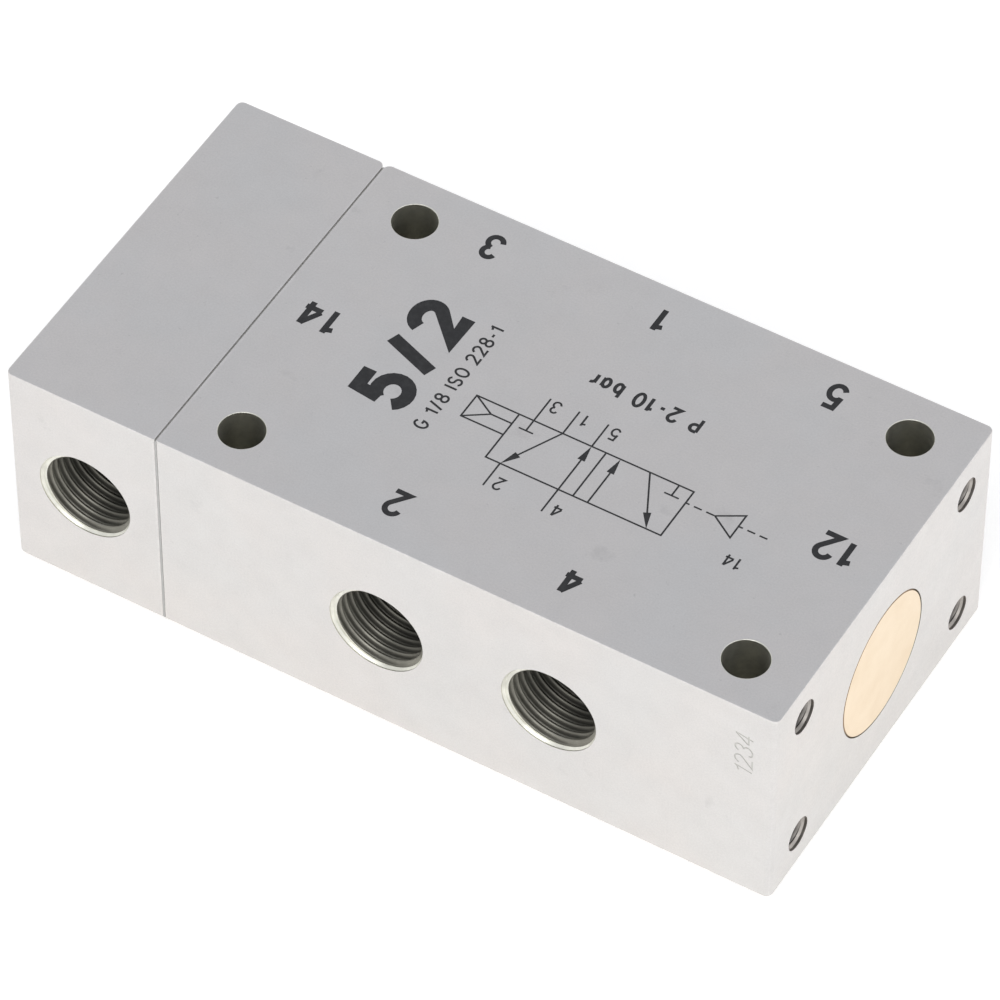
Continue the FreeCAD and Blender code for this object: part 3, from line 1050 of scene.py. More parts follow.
def screw_places():
    """(y, z) of the four screw holes of an end face."""
    across = END_PATTERN["dims"]["spacing_x_mm"] * MM / 2
    up = END_PATTERN["dims"]["spacing_y_mm"] * MM / 2
    return [(y, z) for y in (-across, across) for z in (AXIS_Z - up, AXIS_Z + up)]


def mount_places():
    """(x, y) of the four mounting holes."""
    middle = MOUNT_PATTERN["pos_m"][0]
    along = MOUNT_PATTERN["dims"]["spacing_x_mm"] * MM / 2
    across = MOUNT_PATTERN["dims"]["spacing_y_mm"] * MM / 2
    return [(middle + dx, y) for dx in (-along, along) for y in (-across, across)]


def mounting_hole(x, y, steps):
    """A hole right through the body, with rounded mouths."""
    radius = MOUNT_PATTERN["dims"]["hole_r_mm"] * MM
    mouth = [(depth, radius + inset) for depth, inset in rounded_edge(HOLE_MOUTH, EDGE_STEPS)]
    wide = radius + HOLE_MOUTH
    profile = [(-OVERSHOOT, 0), (-OVERSHOOT, wide)] + mouth
    profile += [(TOP_Z - depth, r) for depth, r in reversed(mouth)]
    profile += [(TOP_Z + OVERSHOOT, wide), (TOP_Z + OVERSHOOT, 0)]
    return lathe(profile, steps, Matrix.Translation((x, y, 0)))


def cutter(name, meshes, index=CUT):
    """Disjoint cutting shapes as one object."""
    return mesh_object(name, joined(meshes), BODY_FINISHES, index)


def flat_rod(radius, low_x, high_x, y, z, steps):
    """A plain round cutter along X."""
    return lathe(turned(0, 0, (high_x - low_x, radius)), steps, facing((low_x, y, z), X_AXIS))


# ---------------------------------------------------------------- letters and lines


def bow(x, y, radius_x, radius_y, first, last, steps=18):
    """Points along an elliptical arc from the first angle to the last, in degrees."""
    angles = [math.radians(first + (last - first) * k / steps) for k in range(steps + 1)]
    return [(x + radius_x * math.cos(angle), y + radius_y * math.sin(angle)) for angle in angles]


# Each letter's width and strokes, at a height of one: a stroke is a run of points, and bow() adds the
# points of an arc.
LETTERS = {
    "0": (0.54, [bow(0.27, 0.5, 0.27, 0.5, 0, 360, 32)]),
    "1": (0.30, [[(0.26, 0), (0.26, 1)], [(0.27, 0.90), (0.17, 0.82), (0.0, 0.77)]]),
    "2": (0.54, [bow(0.27, 0.73, 0.26, 0.27, 170, -38) + [(0.02, 0.0), (0.55, 0.0)]]),
    "3": (0.52, [bow(0.26, 0.76, 0.23, 0.24, 165, -78), bow(0.26, 0.27, 0.26, 0.27, 80, -168)]),
    "4": (0.58, [[(0.43, 0), (0.43, 1)], [(0.41, 0.98), (0.02, 0.30)], [(0.0, 0.25), (0.59, 0.25)]]),
    "5": (0.54, [[(0.50, 1), (0.11, 1), (0.06, 0.46)], bow(0.27, 0.31, 0.27, 0.33, 141, -152)]),
    "8": (0.54, [bow(0.27, 0.76, 0.22, 0.24, 0, 360, 28), bow(0.27, 0.26, 0.27, 0.26, 0, 360, 28)]),
    "-": (0.26, [[(0.0, 0.40), (0.26, 0.40)]]),
    "/": (0.32, [[(0.0, -0.06), (0.32, 1.06)]]),
    " ": (0.16, []),
    "G": (0.60, [bow(0.31, 0.5, 0.31, 0.5, 48, 345) + [(0.61, 0.46), (0.36, 0.46)]]),
    "I": (0.04, [[(0.02, 0), (0.02, 1)]]),
    "O": (0.62, [bow(0.31, 0.5, 0.31, 0.5, 0, 360, 32)]),
    "P": (0.50, [[(0.02, 0), (0.02, 1)], [(0.02, 1), (0.26, 1)] + bow(0.27, 0.74, 0.24, 0.26, 90, -90)
                 + [(0.02, 0.48)]]),
    "S": (0.50, [bow(0.25, 0.75, 0.23, 0.25, 25, 262) + bow(0.25, 0.25, 0.25, 0.25, 82, -160)]),
    "a": (0.44, [bow(0.21, 0.33, 0.21, 0.33, 0, 360, 28), [(0.42, 0), (0.42, 0.66)]]),
    "b": (0.44, [bow(0.23, 0.33, 0.21, 0.33, 0, 360, 28), [(0.02, 0), (0.02, 1)]]),
    "r": (0.26, [[(0.02, 0), (0.02, 0.66)], bow(0.25, 0.38, 0.23, 0.28, 180, 75, 8)]),
}


MITRE_LIMIT = 0.45


def ribbon(points, width):
    """A closed unit-high slab that follows a path at an even width, mitred at its corners."""
    path = [Vector(point) for point in points]
    loop = (path[0] - path[-1]).length < 1e-6
    if loop:
        path.pop()
    count = len(path)
    mesh = bmesh.new()
    rows = []
    for k, point in enumerate(path):
        before = path[k - 1] if k or loop else None
        after = path[(k + 1) % count] if k + 1 < count or loop else None
        come = (point - before).normalized() if before is not None else (after - point).normalized()
        go = (after - point).normalized() if after is not None else come
        along = (come + go).normalized()
        reach = width / 2 / max(MITRE_LIMIT, along.dot(come))
        side = Vector((-along.y, along.x)) * reach
        corners = [(*(point - side), 0), (*(point + side), 0), (*(point + side), 1), (*(point - side), 1)]
        rows.append([mesh.verts.new(corner) for corner in corners])
    pairs = list(zip(rows, rows[1:])) + ([(rows[-1], rows[0])] if loop else [])
    for first, second in pairs:
        skin(mesh, first, second)
    if not loop:
        mesh.faces.new(rows[0])
        mesh.faces.new(rows[-1])
    return outward(mesh)


def slab(corners):
    """A closed unit-high slab over a flat outline."""
    mesh = bmesh.new()
    base = [mesh.verts.new((x, y, 0)) for x, y in corners]
    crown = [mesh.verts.new((x, y, 1)) for x, y in corners]
    mesh.faces.new(base)
    mesh.faces.new(crown)
    skin(mesh, base, crown)
    return outward(mesh)


def letter_gap(weight):
    """The gap between two letters, as a share of the letters' unit height."""
    return 0.16 + weight * 1.1


def glyphs(words, height, weight, stretch=1.0, lean=0.0):
    """Words as unit-high slabs, centred: weight is the stroke's share of the height."""
    scale = height / (1 + weight)
    gap = letter_gap(weight)
    made = []
    pen = 0.0
    for letter in words:
        wide, strokes = LETTERS[letter]
        for points in strokes:
            placed = [((pen + x * stretch + lean * y) * scale, (y - 0.5) * scale) for x, y in points]
            made.append(ribbon(placed, weight * scale))
        pen += wide * stretch + gap
    middle = Matrix.Translation(((gap - pen) * scale / 2, 0, 0))
    for mesh in made:
        mesh.transform(middle)
    return made


def fitted(words, height, weight, span):
    """Words stretched to fill that length."""
    scale = height / (1 + weight)
    gap = letter_gap(weight)
    wide = sum(LETTERS[letter][0] for letter in words)
    stretch = (span / scale - weight - gap * (len(words) - 1)) / wide
    return glyphs(words, height, weight, stretch)


def arrow_head(tip, tail, width, length_):
    """A filled arrowhead at tip, pointing away from tail."""
    tip = Vector(tip)
    along = (tip - Vector(tail)).normalized()
    side = Vector((-along.y, along.x)) * (width / 2)
    back = tip - along * length_
    return slab([tip, back + side, back - side])


# ---------------------------------------------------------------- operators


class MakeBodyBlock(bpy.types.Operator):
    """Make the valve body with its bore, tapped ports and screw holes"""

    bl_idname = "valve.body_block"
    bl_label = "Body Block"

    def execute(self, context):
        sizes = settings("valve_block")
        threads = settings("valve_threads")
        small = threads.screw_steps
        block = eased_block(BODY_LOW, BODY_HIGH, sizes, BODY_LOW.x)
        item = mesh_object("body_block", block, BODY_FINISHES)
        start = BODY_LOW.x
        end = BODY_HIGH.x - start
        bore = lathe([
            (-OVERSHOOT, 0),
            *stepped(-OVERSHOOT, (FLANGE_SEAT_DEPTH, FLANGE_SEAT_RADIUS), (BORE_LENGTH, BORE_RADIUS),
                     (end - BORE_EDGE_BREAK, PLUG_BORE_RADIUS)),
            *stepped(end, (end + OVERSHOOT, PLUG_BORE_RADIUS + BORE_EDGE_BREAK)),
            (end + OVERSHOOT, 0),
        ], BORE_STEPS, facing((start, 0, AXIS_Z), X_AXIS))
        holes = [mounting_hole(x, y, HOLE_STEPS) for x, y in mount_places()]
        drills = [port_drill(PORTS[p], gallery_tip(PORTS[p])) for p in BODY_PORTS]
        taps = [port_thread(PORTS[p]) for p in BODY_PORTS]
        mouths = [port_mouth(PORTS[p]) for p in BODY_PORTS]
        screw_drills = []
        screw_taps = []
        screw_mouths = []
        for y, z in screw_places():
            face = Vector((BODY_HIGH.x, y, z))
            screw_drills.append(flat_rod(
                M3_DRILL_RADIUS, start - OVERSHOOT, start + COVER_SCREW_DEPTH, y, z, small))
            screw_drills.append(flat_rod(
                M3_DRILL_RADIUS, face.x - M3_DEPTH, face.x + OVERSHOOT, y, z, small))
            screw_taps.append(threaded_rod(
                M3_PITCH, M3_DEPTH + OVERSHOOT, M3_CREST_RADIUS, M3_RADIUS, M3_PITCH / 2,
                small, threads.screw_rows, facing(face + X_AXIS * OVERSHOOT, -X_AXIS),
            ))
            screw_mouths.append(cone_mouth(
                face, -X_AXIS, M3_MOUTH_RADIUS, M3_MOUTH_DEPTH, M3_MOUTH_RADIUS - M3_RADIUS, small))
        vent = lathe(
            turned(0, -OVERSHOOT, (AXIS_Z, VENT_RADIUS)), VENT_STEPS,
            Matrix.Translation((start + VENT_AT, 0, 0)),
        )
        combine(item, [
            cutter("bore", [bore]),
            cutter("holes", holes + [vent], DRILLED),
            cutter("drills", drills),
            cutter("taps", taps),
            cutter("mouths", mouths, DRILLED),
            cutter("screw_drills", screw_drills, SCREW),
            cutter("screw_taps", screw_taps, SCREW),
            cutter("screw_mouths", screw_mouths, SCREW),
        ])
        combine(item, [self.scribing(sizes.scribe_depth)], solver="EXACT", transfer=True)
        shade(item)
        stand_in(item, "housing", "body_aluminium", "valve_body")
        return {"FINISHED"}

    def scribing(self, depth):
        """The cutter of the batch digits scribed on the front face, reading upward."""
        height = 1.9 * MM
        weight = 0.09
        stretch = 1.15
        lean = 0.2
        from_end = 3.2 * MM
        from_top = 6.2 * MM
        digits = glyphs("1234", height, weight, stretch, lean)
        turned_up = Matrix.Rotation(math.radians(90), 4, "X") @ Matrix.Rotation(math.radians(90), 4, "Z")
        face = Vector((BODY_HIGH.x - from_end, -HALF_WIDTH + depth, TOP_Z - from_top))
        for digit in digits:
            digit.transform(Matrix.Diagonal((1, 1, depth + OVERSHOOT, 1)))
            digit.transform(Matrix.Translation(face) @ turned_up)
        item = cutter("digits", digits, SCRIBED)
        item.data = run_tree("Merged Strokes", item.data, {"Material": finish("scribed_aluminium")})
        return item


class MakePilotBlock(bpy.types.Operator):
    """Make the pilot cover with port 14, its piston bore and counterbored screw holes"""

    bl_idname = "valve.pilot_block"
    bl_label = "Pilot Block"

    def execute(self, context):
        sizes = settings("valve_block")
        block = eased_block(COVER_LOW, COVER_HIGH, sizes, COVER_HIGH.x)
        item = mesh_object("pilot_block", block, ["satin_cover", *BODY_FINISHES[1:]])
        port = PORTS["14"]
        depth = port_depth(port)
        drill = port_drill(port, [(depth + DRILL_EXTRA, TAP_DRILL_RADIUS), (depth + DRILL_EXTRA, 0)])
        feed_x = port["pos_m"][0] + FEED_OFFSET
        feed = lathe(
            turned(0, 0, (FEED_END_Y + HALF_WIDTH - depth, FEED_RADIUS)), DRILL_STEPS,
            facing((feed_x, depth - HALF_WIDTH, AXIS_Z), Y_AXIS),
        )
        chamber = flat_rod(
            PISTON_BORE_RADIUS, COVER_HIGH.x - PISTON_BORE_DEPTH, COVER_HIGH.x + OVERSHOOT, 0, AXIS_Z,
            BORE_STEPS,
        )
        outer = COVER_LOW.x
        through = COVER_HIGH.x - outer + OVERSHOOT
        clearance = [
            (-OVERSHOOT, 0),
            *stepped(-OVERSHOOT, (0, COUNTERBORE_RADIUS + HOLE_MOUTH)),
            *stepped(HOLE_MOUTH, (COUNTERBORE_DEPTH, COUNTERBORE_RADIUS),
                     (through, SCREW_CLEARANCE_RADIUS)),
            (through, 0),
        ]
        clearances = [
            lathe(clearance, HOLE_STEPS, facing((outer, y, z), X_AXIS)) for y, z in screw_places()]
        combine(item, [
            cutter("drill", [drill, chamber] + clearances),
            cutter("feed", [feed]),
            cutter("tap", [port_thread(port)]),
            cutter("mouth", [port_mouth(port)], DRILLED),
        ])
        shade(item)
        stand_in(item, "housing", "body_aluminium", "pilot_cover")
        return {"FINISHED"}


class MakeEndPlug(bpy.types.Operator):
    """Make the turned brass end plug"""

    bl_idname = "valve.end_plug"
    bl_label = "End Plug"

    def execute(self, context):
        cup = 5.2 * MM
        wall = 1.7 * MM
        groove_radius = 6.6 * MM
        groove_half = 0.8 * MM
        ease = 0.1 * MM
        outer = PLUG_HIGH.y
        nose = PLUG_NOSE_RADIUS
        shoulder = BODY_LOW.x + BORE_LENGTH - PLUG_LOW.x
        groove = shoulder / 2
        end = PLUG_HIGH.x - PLUG_LOW.x
        mesh = lathe([
            (end - wall, 0), (end - wall, cup), (0, cup), (0, outer - ease),
            *stepped(ease, (groove - groove_half, outer), (groove + groove_half, groove_radius),
                     (shoulder, outer), (end - PLUG_EDGE, nose)),
            (end, nose - PLUG_EDGE), (end, 0),
        ], PLUG_STEPS, facing((PLUG_LOW.x, 0, AXIS_Z), X_AXIS))
        item = mesh_object("brass_plug", mesh, ["plug_brass"])
        shade(item)
        stand_in(item, "housing", "turned_brass", "end_plug")
        return {"FINISHED"}


class MakeCoverScrews(bpy.types.Operator):
    """Make the four socket head screws of the pilot cover"""

    bl_idname = "valve.cover_screws"
    bl_label = "Cover Screws"

    def execute(self, context):
        head_radius = 2.75 * MM
        head_height = 3.0 * MM
        chamfer = 0.25 * MM
        shank_radius = 1.49 * MM
        thread_core = 1.2 * MM
        socket_corner = 2.5 * MM / math.sqrt(3)
        socket_depth = 1.5 * MM
        socket_point = 0.4 * MM
        rim = 0.1 * MM
        overlap = 0.3 * MM
        run_out = 0.5 * MM
        top = SCREWS_LOW.x
        tip = SCREWS_HIGH.x
        place = facing((top, 0, 0), X_AXIS)
        head = lathe([
            (0, 0), (0, head_radius - chamfer), (chamfer, head_radius), (head_height - rim, head_radius),
            (head_height, head_radius - rim), (head_height, 0),
        ], SCREW_HEAD_STEPS, place)
        shank = threaded_rod(
            M3_PITCH, tip - top - head_height + overlap, thread_core, shank_radius, run_out, 24, 8,
            facing((top + head_height - overlap, 0, 0), X_AXIS),
        )
        socket = lathe([
            (-OVERSHOOT, 0), (-OVERSHOOT, socket_corner), (socket_depth, socket_corner),
            (socket_depth + socket_point, 0),
        ], 6, place)
        item = mesh_object("cover_screw_set", head, ["zinc_steel"])
        combine(item, [mesh_object("shank", shank, ["zinc_steel"])], "UNION")
        combine(item, [mesh_object("socket", socket, ["zinc_steel"])])
        item.data = run_tree("Four Places", item.data, {
            "Spacing Across": END_PATTERN["dims"]["spacing_x_mm"] * MM,
            "Spacing Up": END_PATTERN["dims"]["spacing_y_mm"] * MM,
            "Centre Height": AXIS_Z,
            "Material": finish("zinc_steel"),
        })
        shade(item)
        stand_in(item, "housing", "screw_steel", "cover_screws")
        return {"FINISHED"}


class MakeGasket(bpy.types.Operator):
    """Make the thin gasket between the pilot block and the body"""

    bl_idname = "valve.gasket"
    bl_label = "Gasket"

    def execute(self, context):
        sunk = 0.24 * MM
        front = 0.04 * MM
        back = 0.3 * MM
        corner = 0.1 * MM
        corner_steps = 6
        low = Vector((COVER_HIGH.x, -HALF_WIDTH + front, sunk))
        high = Vector((BODY_LOW.x, HALF_WIDTH - back, TOP_Z - sunk))
        mesh = bmesh.new()
        bmesh.ops.create_cube(mesh, size=1.0)
        mesh.transform(Matrix.Translation((low + high) / 2) @ Matrix.Diagonal((*(high - low), 1.0)))
        edges = [e for e in mesh.edges if abs(e.verts[0].co.x - e.verts[1].co.x) > corner]
        bmesh.ops.bevel(
            mesh, geom=edges, offset=corner, segments=corner_steps, profile=0.5, affect="EDGES")
        item = mesh_object("gasket", mesh, ["pressed_gasket"])
        ends = low.x - OVERSHOOT, high.x + OVERSHOOT
        holes = [flat_rod(PISTON_BORE_RADIUS, *ends, 0, AXIS_Z, BORE_STEPS)]
        holes += [flat_rod(SCREW_CLEARANCE_RADIUS, *ends, y, z, HOLE_STEPS) for y, z in screw_places()]
        combine(item, [mesh_object("holes", joined(holes), ["pressed_gasket"])])
        shade(item)
        stand_in(item, "housing", "gasket_sheet", "cover_gasket")
        return {"FINISHED"}


class MakeGuideBush(bpy.types.Operator):
    """Make the flanged brass bush that guides the spool"""

    bl_idname = "valve.guide_bush"
    bl_label = "Guide Bush"

    def execute(self, context):
        low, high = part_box("guide_bush")
        guide = 5.05 * MM
        flange = 10.0 * MM
        recess_radius = 6.7 * MM
        recess = 2.5 * MM, 5.5 * MM
        vent_radius = 0.7 * MM
        vent_circle = 6.5 * MM
        ease = 0.08 * MM
        end = high.x - low.x
        vent = lathe(
            turned(0, -OVERSHOOT, (sum(recess) / 2, vent_radius)), VENT_STEPS,
            Matrix.Rotation(math.radians(45), 4, "Z") @ Matrix.Translation((vent_circle, 0, 0)),
        )
        profile = turned(
            guide, 0, (FLANGE_SEAT_DEPTH, flange), (recess[0], STACK_RADIUS), (recess[1], recess_radius),
            (end, STACK_RADIUS),
        )
        vents = round_the_axis(vent, 4, low.x)
        item = turned_piece("brass_bush", "bush_brass", eased(profile, ease), low.x, [vents])
        stand_in(item, "housing", "turned_brass", "guide_bush")
        return {"FINISHED"}


class MakeSpacers(bpy.types.Operator):
    """Make the windowed spacer at each port's gallery"""

    bl_idname = "valve.spacers"
    bl_label = "Spacers"

    def execute(self, context):
        inner = 5.5 * MM
        groove_radius = 6.8 * MM
        groove_half = 1.8 * MM
        window_radius = 1.3 * MM
        window_from = 4.8 * MM
        window_to = 9 * MM
        ease = 0.12 * MM
        first = BODY_PORTS[0]
        low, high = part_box("cage_port_" + first)
        half = (high.x - low.x) / 2
        middle = low.x + half
        window = lathe(
            turned(0, window_from, (window_to, window_radius)), DRILL_STEPS, facing((0, 0, 0), X_AXIS))
        profile = turned(
            inner, -half, (-groove_half, STACK_RADIUS), (groove_half, groove_radius), (half, STACK_RADIUS))
        windows = round_the_axis(window, 8, middle)
        model = turned_piece("model", "moulded_acetal", eased(profile, ease), middle, [windows])
        for port in BODY_PORTS:
            node = "cage_port_" + port
            item = moved_copy("spacer_" + port, model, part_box(node)[0].x - low.x)
            stand_in(item, "housing", "cage_plastic", node)
        bpy.data.objects.remove(model)
        return {"FINISHED"}


class MakeRings(bpy.types.Operator):
    """Make the O-rings between the spacers and in the plug's groove"""

    bl_idname = "valve.rings"
    bl_label = "O-Rings"

    def execute(self, context):
        nodes = {"bore_ring_%d" % number: "spool_seal_%d" % number for number in range(1, 7)}
        nodes["plug_ring"] = "end_plug_ring"
        for name, node in nodes.items():
            low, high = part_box(node)
            section = high.x - low.x
            profile = round_profile(section, high.y - section / 2)
            item = turned_piece(name, "nitrile_rubber", profile, (low.x + high.x) / 2)
            stand_in(item, "housing", "seal_rubber", node)
        return {"FINISHED"}


class MakeSpool(bpy.types.Operator):
    """Make the ground spool with its lands, waists and air drilling"""

    bl_idname = "valve.spool"
    bl_label = "Spool"

    def execute(self, context):
        waist = 3.0 * MM
        chamfer = 0.5 * MM
        drilling = 1.2 * MM
        cross = 1.0 * MM
        ease = 0.05 * MM
        start = BODY_LOW.x
        low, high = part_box("spool")
        lands = [
            (low.x - start, 11.5 * MM), (17 * MM, 24 * MM), (35 * MM, 42 * MM), (48 * MM, high.x - start),
        ]
        profile = [(lands[0][0], 0)]
        for first, last in lands:
            if len(profile) > 1:
                profile.append((first, waist))
            profile += [(first, SPOOL_RADIUS - chamfer), (first + chamfer, SPOOL_RADIUS)]
            profile += [(last - chamfer, SPOOL_RADIUS), (last, SPOOL_RADIUS - chamfer), (last, waist)]
        profile[-1] = (lands[-1][1], 0)
        cross_x = start + 30 * MM
        cross_hole = lathe(
            turned(0, -SPOOL_RADIUS - OVERSHOOT, (SPOOL_RADIUS + OVERSHOOT, cross)), DRILL_STEPS,
            facing((cross_x, 0, AXIS_Z), Z_AXIS),
        )
        long_hole = flat_rod(drilling, cross_x, high.x + OVERSHOOT, 0, AXIS_Z, DRILL_STEPS)
        cuts = [long_hole, cross_hole]
        item = turned_piece("valve_spool", "ground_spool", eased(profile, ease), start, cuts)
        stand_in(item, "spool", "spool_aluminium", "spool")
        return {"FINISHED"}


class MakePilotPiston(bpy.types.Operator):
    """Make the pilot piston and the lip ring in its groove"""

    bl_idname = "valve.pilot_piston"
    bl_label = "Pilot Piston"

    def execute(self, context):
        nub = 3.5 * MM
        nub_length = 1.0 * MM
        groove_radius = 6.8 * MM
        groove_half = 1.0 * MM
        ease = 0.1 * MM
        ring_clearance = 0.05 * MM
        ring_ease = 0.06 * MM
        low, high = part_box("pilot_piston")
        outer = high.y
        face = high.x - low.x
        middle = (face + nub_length) / 2
        profile = turned(
            0, 0, (nub_length, nub), (middle - groove_half, outer), (middle + groove_half, groove_radius),
            (face, outer),
        )
        item = turned_piece("drive_piston", "black_acetal", eased(profile, ease), low.x)
        stand_in(item, "pilot_piston", "piston_plastic", "pilot_piston")
        low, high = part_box("pilot_piston_seal")
        outer = high.y
        inner = groove_radius + ring_clearance
        half = (high.x - low.x) / 2
        centre = (inner + outer) / 2
        notch = (outer - inner) / 5
        item = turned_piece("piston_lip_ring", "nitrile_rubber", eased([
            (half, inner), (half, outer - notch), (-half, outer), (-half, centre + notch),
            (0, centre), (-half, centre - notch), (-half, inner),
        ], ring_ease), low.x + half)
        stand_in(item, "pilot_piston", "seal_rubber", "pilot_piston_seal")
        return {"FINISHED"}


# The circuit symbol's own plane: U to the left of the reader's right, V up, both in millimetres from
# the middle of its rest square. It is read from the back of the valve, so it is turned half round.
SYMBOL_CENTRE = Vector((7.03, -3.50))
SYMBOL_BOX = Vector((9.05, 5.95))

# Lines of words: the setting, then height, stroke as a share of the height, length and place (x, y),
# in millimetres, and the way they read, in degrees.
WORD_LINES = [
    ("range_words", 1.95, 0.21, 11.6, (11.6, 6.5), 180),
    ("kind_words", 5.9, 0.30, 14.0, (-9.6, 0.7), 90),
    ("thread_words", 1.5, 0.17, 14.2, (-4.5, 0.5), 90),
]
SMALL_WEIGHT = 0.145


class MakePrintedMarks(bpy.types.Operator):
    """Print the port numbers, the plain words and the circuit symbol on the top face"""

    bl_idname = "valve.printed_marks"
    bl_label = "Printed Marks"

    def execute(self, context):
        sizes = settings("valve_marks")
        marks = self.port_numbers(sizes) + self.words(sizes)
        marks += self.symbol(sizes) + self.symbol_numbers(sizes)
        mesh = joined(marks)
        mesh.transform(Matrix.Diagonal((1 / MM, 1 / MM, 1, 1)))
        data = mesh_data("printed_marks", mesh, ["printing_ink"])
        data = run_tree("Merged Strokes", data, {"Material": finish("printing_ink")})
        sunk = 0.004 * MM
        data.transform(Matrix.Diagonal((MM, MM, sizes.ink_height + sunk, 1)))
        data.transform(Matrix.Translation((0, 0, TOP_Z - sunk)))
        item = scene_object("printed_marks", data)
        stand_in(item, "housing", "body_aluminium")
        return {"FINISHED"}

    def placed(self, meshes, x, y, turn=math.pi):
        """The shapes moved to that point of the top face, reading half round unless turned otherwise."""
        for mesh in meshes:
            mesh.transform(Matrix.Translation((x, y, 0)) @ Matrix.Rotation(turn, 4, "Z"))
        return meshes

    def port_numbers(self, sizes):
        """The large number beside each port and pilot."""
        back_row = -0.2 * MM, HALF_WIDTH - 4.1 * MM
        front_row = -0.6 * MM, 4.7 * MM - HALF_WIDTH
        places = {}
        for port in BODY_PORTS:
            mount = PORTS[port]
            slip, y = back_row if mount["axis"][1] > 0 else front_row
            places[port] = (mount["pos_m"][0] + slip, y)
        places["14"] = (BODY_LOW.x + 4.8 * MM, 0.25 * MM)
        places["12"] = (BODY_HIGH.x - 5.25 * MM, 0.0)
        wide_number_growth = 0.2 * MM
        marks = []
        for words, (x, y) in places.items():
            height = sizes.digit_height + (len(words) - 1) * wide_number_growth
            marks += self.placed(glyphs(words, height, sizes.digit_weight), x, y)
        return marks

    def words(self, sizes):
        """The plain words about the valve."""
        marks = []
        for name, height, weight, span, (x, y), turn in WORD_LINES:
            made = fitted(getattr(sizes, name), height * MM, weight, span * MM)
            marks += self.placed(made, x * MM, y * MM, math.radians(turn))
        return marks

    def symbol(self, sizes):
        """The circuit symbol's lines and arrowheads."""
        width = sizes.line_width / MM
        a, b = SYMBOL_BOX
        step = a / 3
        lines = []
        heads = []
        for left, right in ((-a / 2, a / 2), (-1.5 * a, -a / 2)):
            corners = [(left, -b / 2), (right, -b / 2), (right, b / 2), (left, b / 2)]
            lines.append(corners + corners[:1])
        line_below = 3.05
        line_above = 3.0
        stub = 1.4
        stub_half = 0.75
        for u in (-step, 0.0, step):
            lines.append(((u, -b / 2), (u, -b / 2 - line_below)))
        for u in (-step, step):
            lines.append(((u, b / 2), (u, b / 2 + line_above)))
        for u in (step, -a - step):
            lines.append(((u, -b / 2), (u, -b / 2 + stub)))
            lines.append(((u - stub_half, -b / 2 + stub), (u + stub_half, -b / 2 + stub)))
        flows = [
            ((0.0, -b / 2), (step, b / 2)),
            ((-step, b / 2), (-step, -b / 2)),
            ((-2 * step, b / 2), (-2 * step, -b / 2)),
            ((-a, -b / 2), (-a - step, b / 2)),
        ]
        for tail, tip in flows:
            short = Vector(tip) + (Vector(tail) - Vector(tip)).normalized() * 1.0
            lines.append((tail, tuple(short)))
            heads.append((tip, tail))
        spring_top = -0.125
        spring_end = a / 2 + 4.45
        spring = [(a / 2, spring_top), (spring_end, spring_top), (spring_end, -b / 2), (a / 2, -b / 2)]
        lines.append(spring)
        apex = (a / 2 + 2.2, -1.665)
        lines += [(spring[1], apex), (spring[2], apex), (apex, (a / 2, apex[1]))]
        pilot = -1.475
        edge = -1.5 * a
        dashes = [(0.0, 0.4), (0.85, 1.65), (2.1, 2.9), (5.45, 5.85), (6.3, 7.1), (7.55, 8.35)]
        lines += [((edge - low, pilot), (edge - high, pilot)) for low, high in dashes]
        triangle = [(edge - 3.0, pilot), (edge - 5.41, pilot - 1.44), (edge - 5.41, pilot + 1.54)]
        lines.append(triangle + triangle[:1])
        marks = [ribbon([self.on_face(point) for point in path], width) for path in lines]
        head_width = 0.75
        head_length = 1.9
        for tip, tail in heads:
            marks.append(arrow_head(self.on_face(tip), self.on_face(tail), head_width, head_length))
        for mark in marks:
            mark.transform(Matrix.Diagonal((MM, MM, 1, 1)))
        return marks

    def on_face(self, point):
        """A point of the symbol's plane on the top face, in millimetres."""
        return Vector((SYMBOL_CENTRE.x - point[0], SYMBOL_CENTRE.y - point[1]))

    def symbol_numbers(self, sizes):
        """The small numbers beside the symbol's lines."""
        places = {
            "3": (4.93, 1.83), "1": (8.06, 1.78), "5": (11.1, 1.74), "2": (5.16, -8.66),
            "4": (11.2, -8.75), "14": (27.6, -5.95),
        }
        marks = []
        for words, (x, y) in places.items():
            marks += self.placed(glyphs(words, sizes.small_height, SMALL_WEIGHT), x * MM, y * MM)
        return marks


# The soft lights' places, in metres from the valve's middle, and their widths
KEY_PLACE = Vector((0.10, -0.55, 0.55))
KEY_WIDTH = 0.7
FILL_PLACE = Vector((0.75, -0.10, 0.35))
FILL_WIDTH = 0.6

# Where the camera aims, from the valve's middle
AIM_OFFSET = Vector((0.47, -0.47, -0.55)) * MM

# How far the floor lies under the base, and half its width
FLOOR_GAP = 0.02 * MM
FLOOR_REACH = 4.0


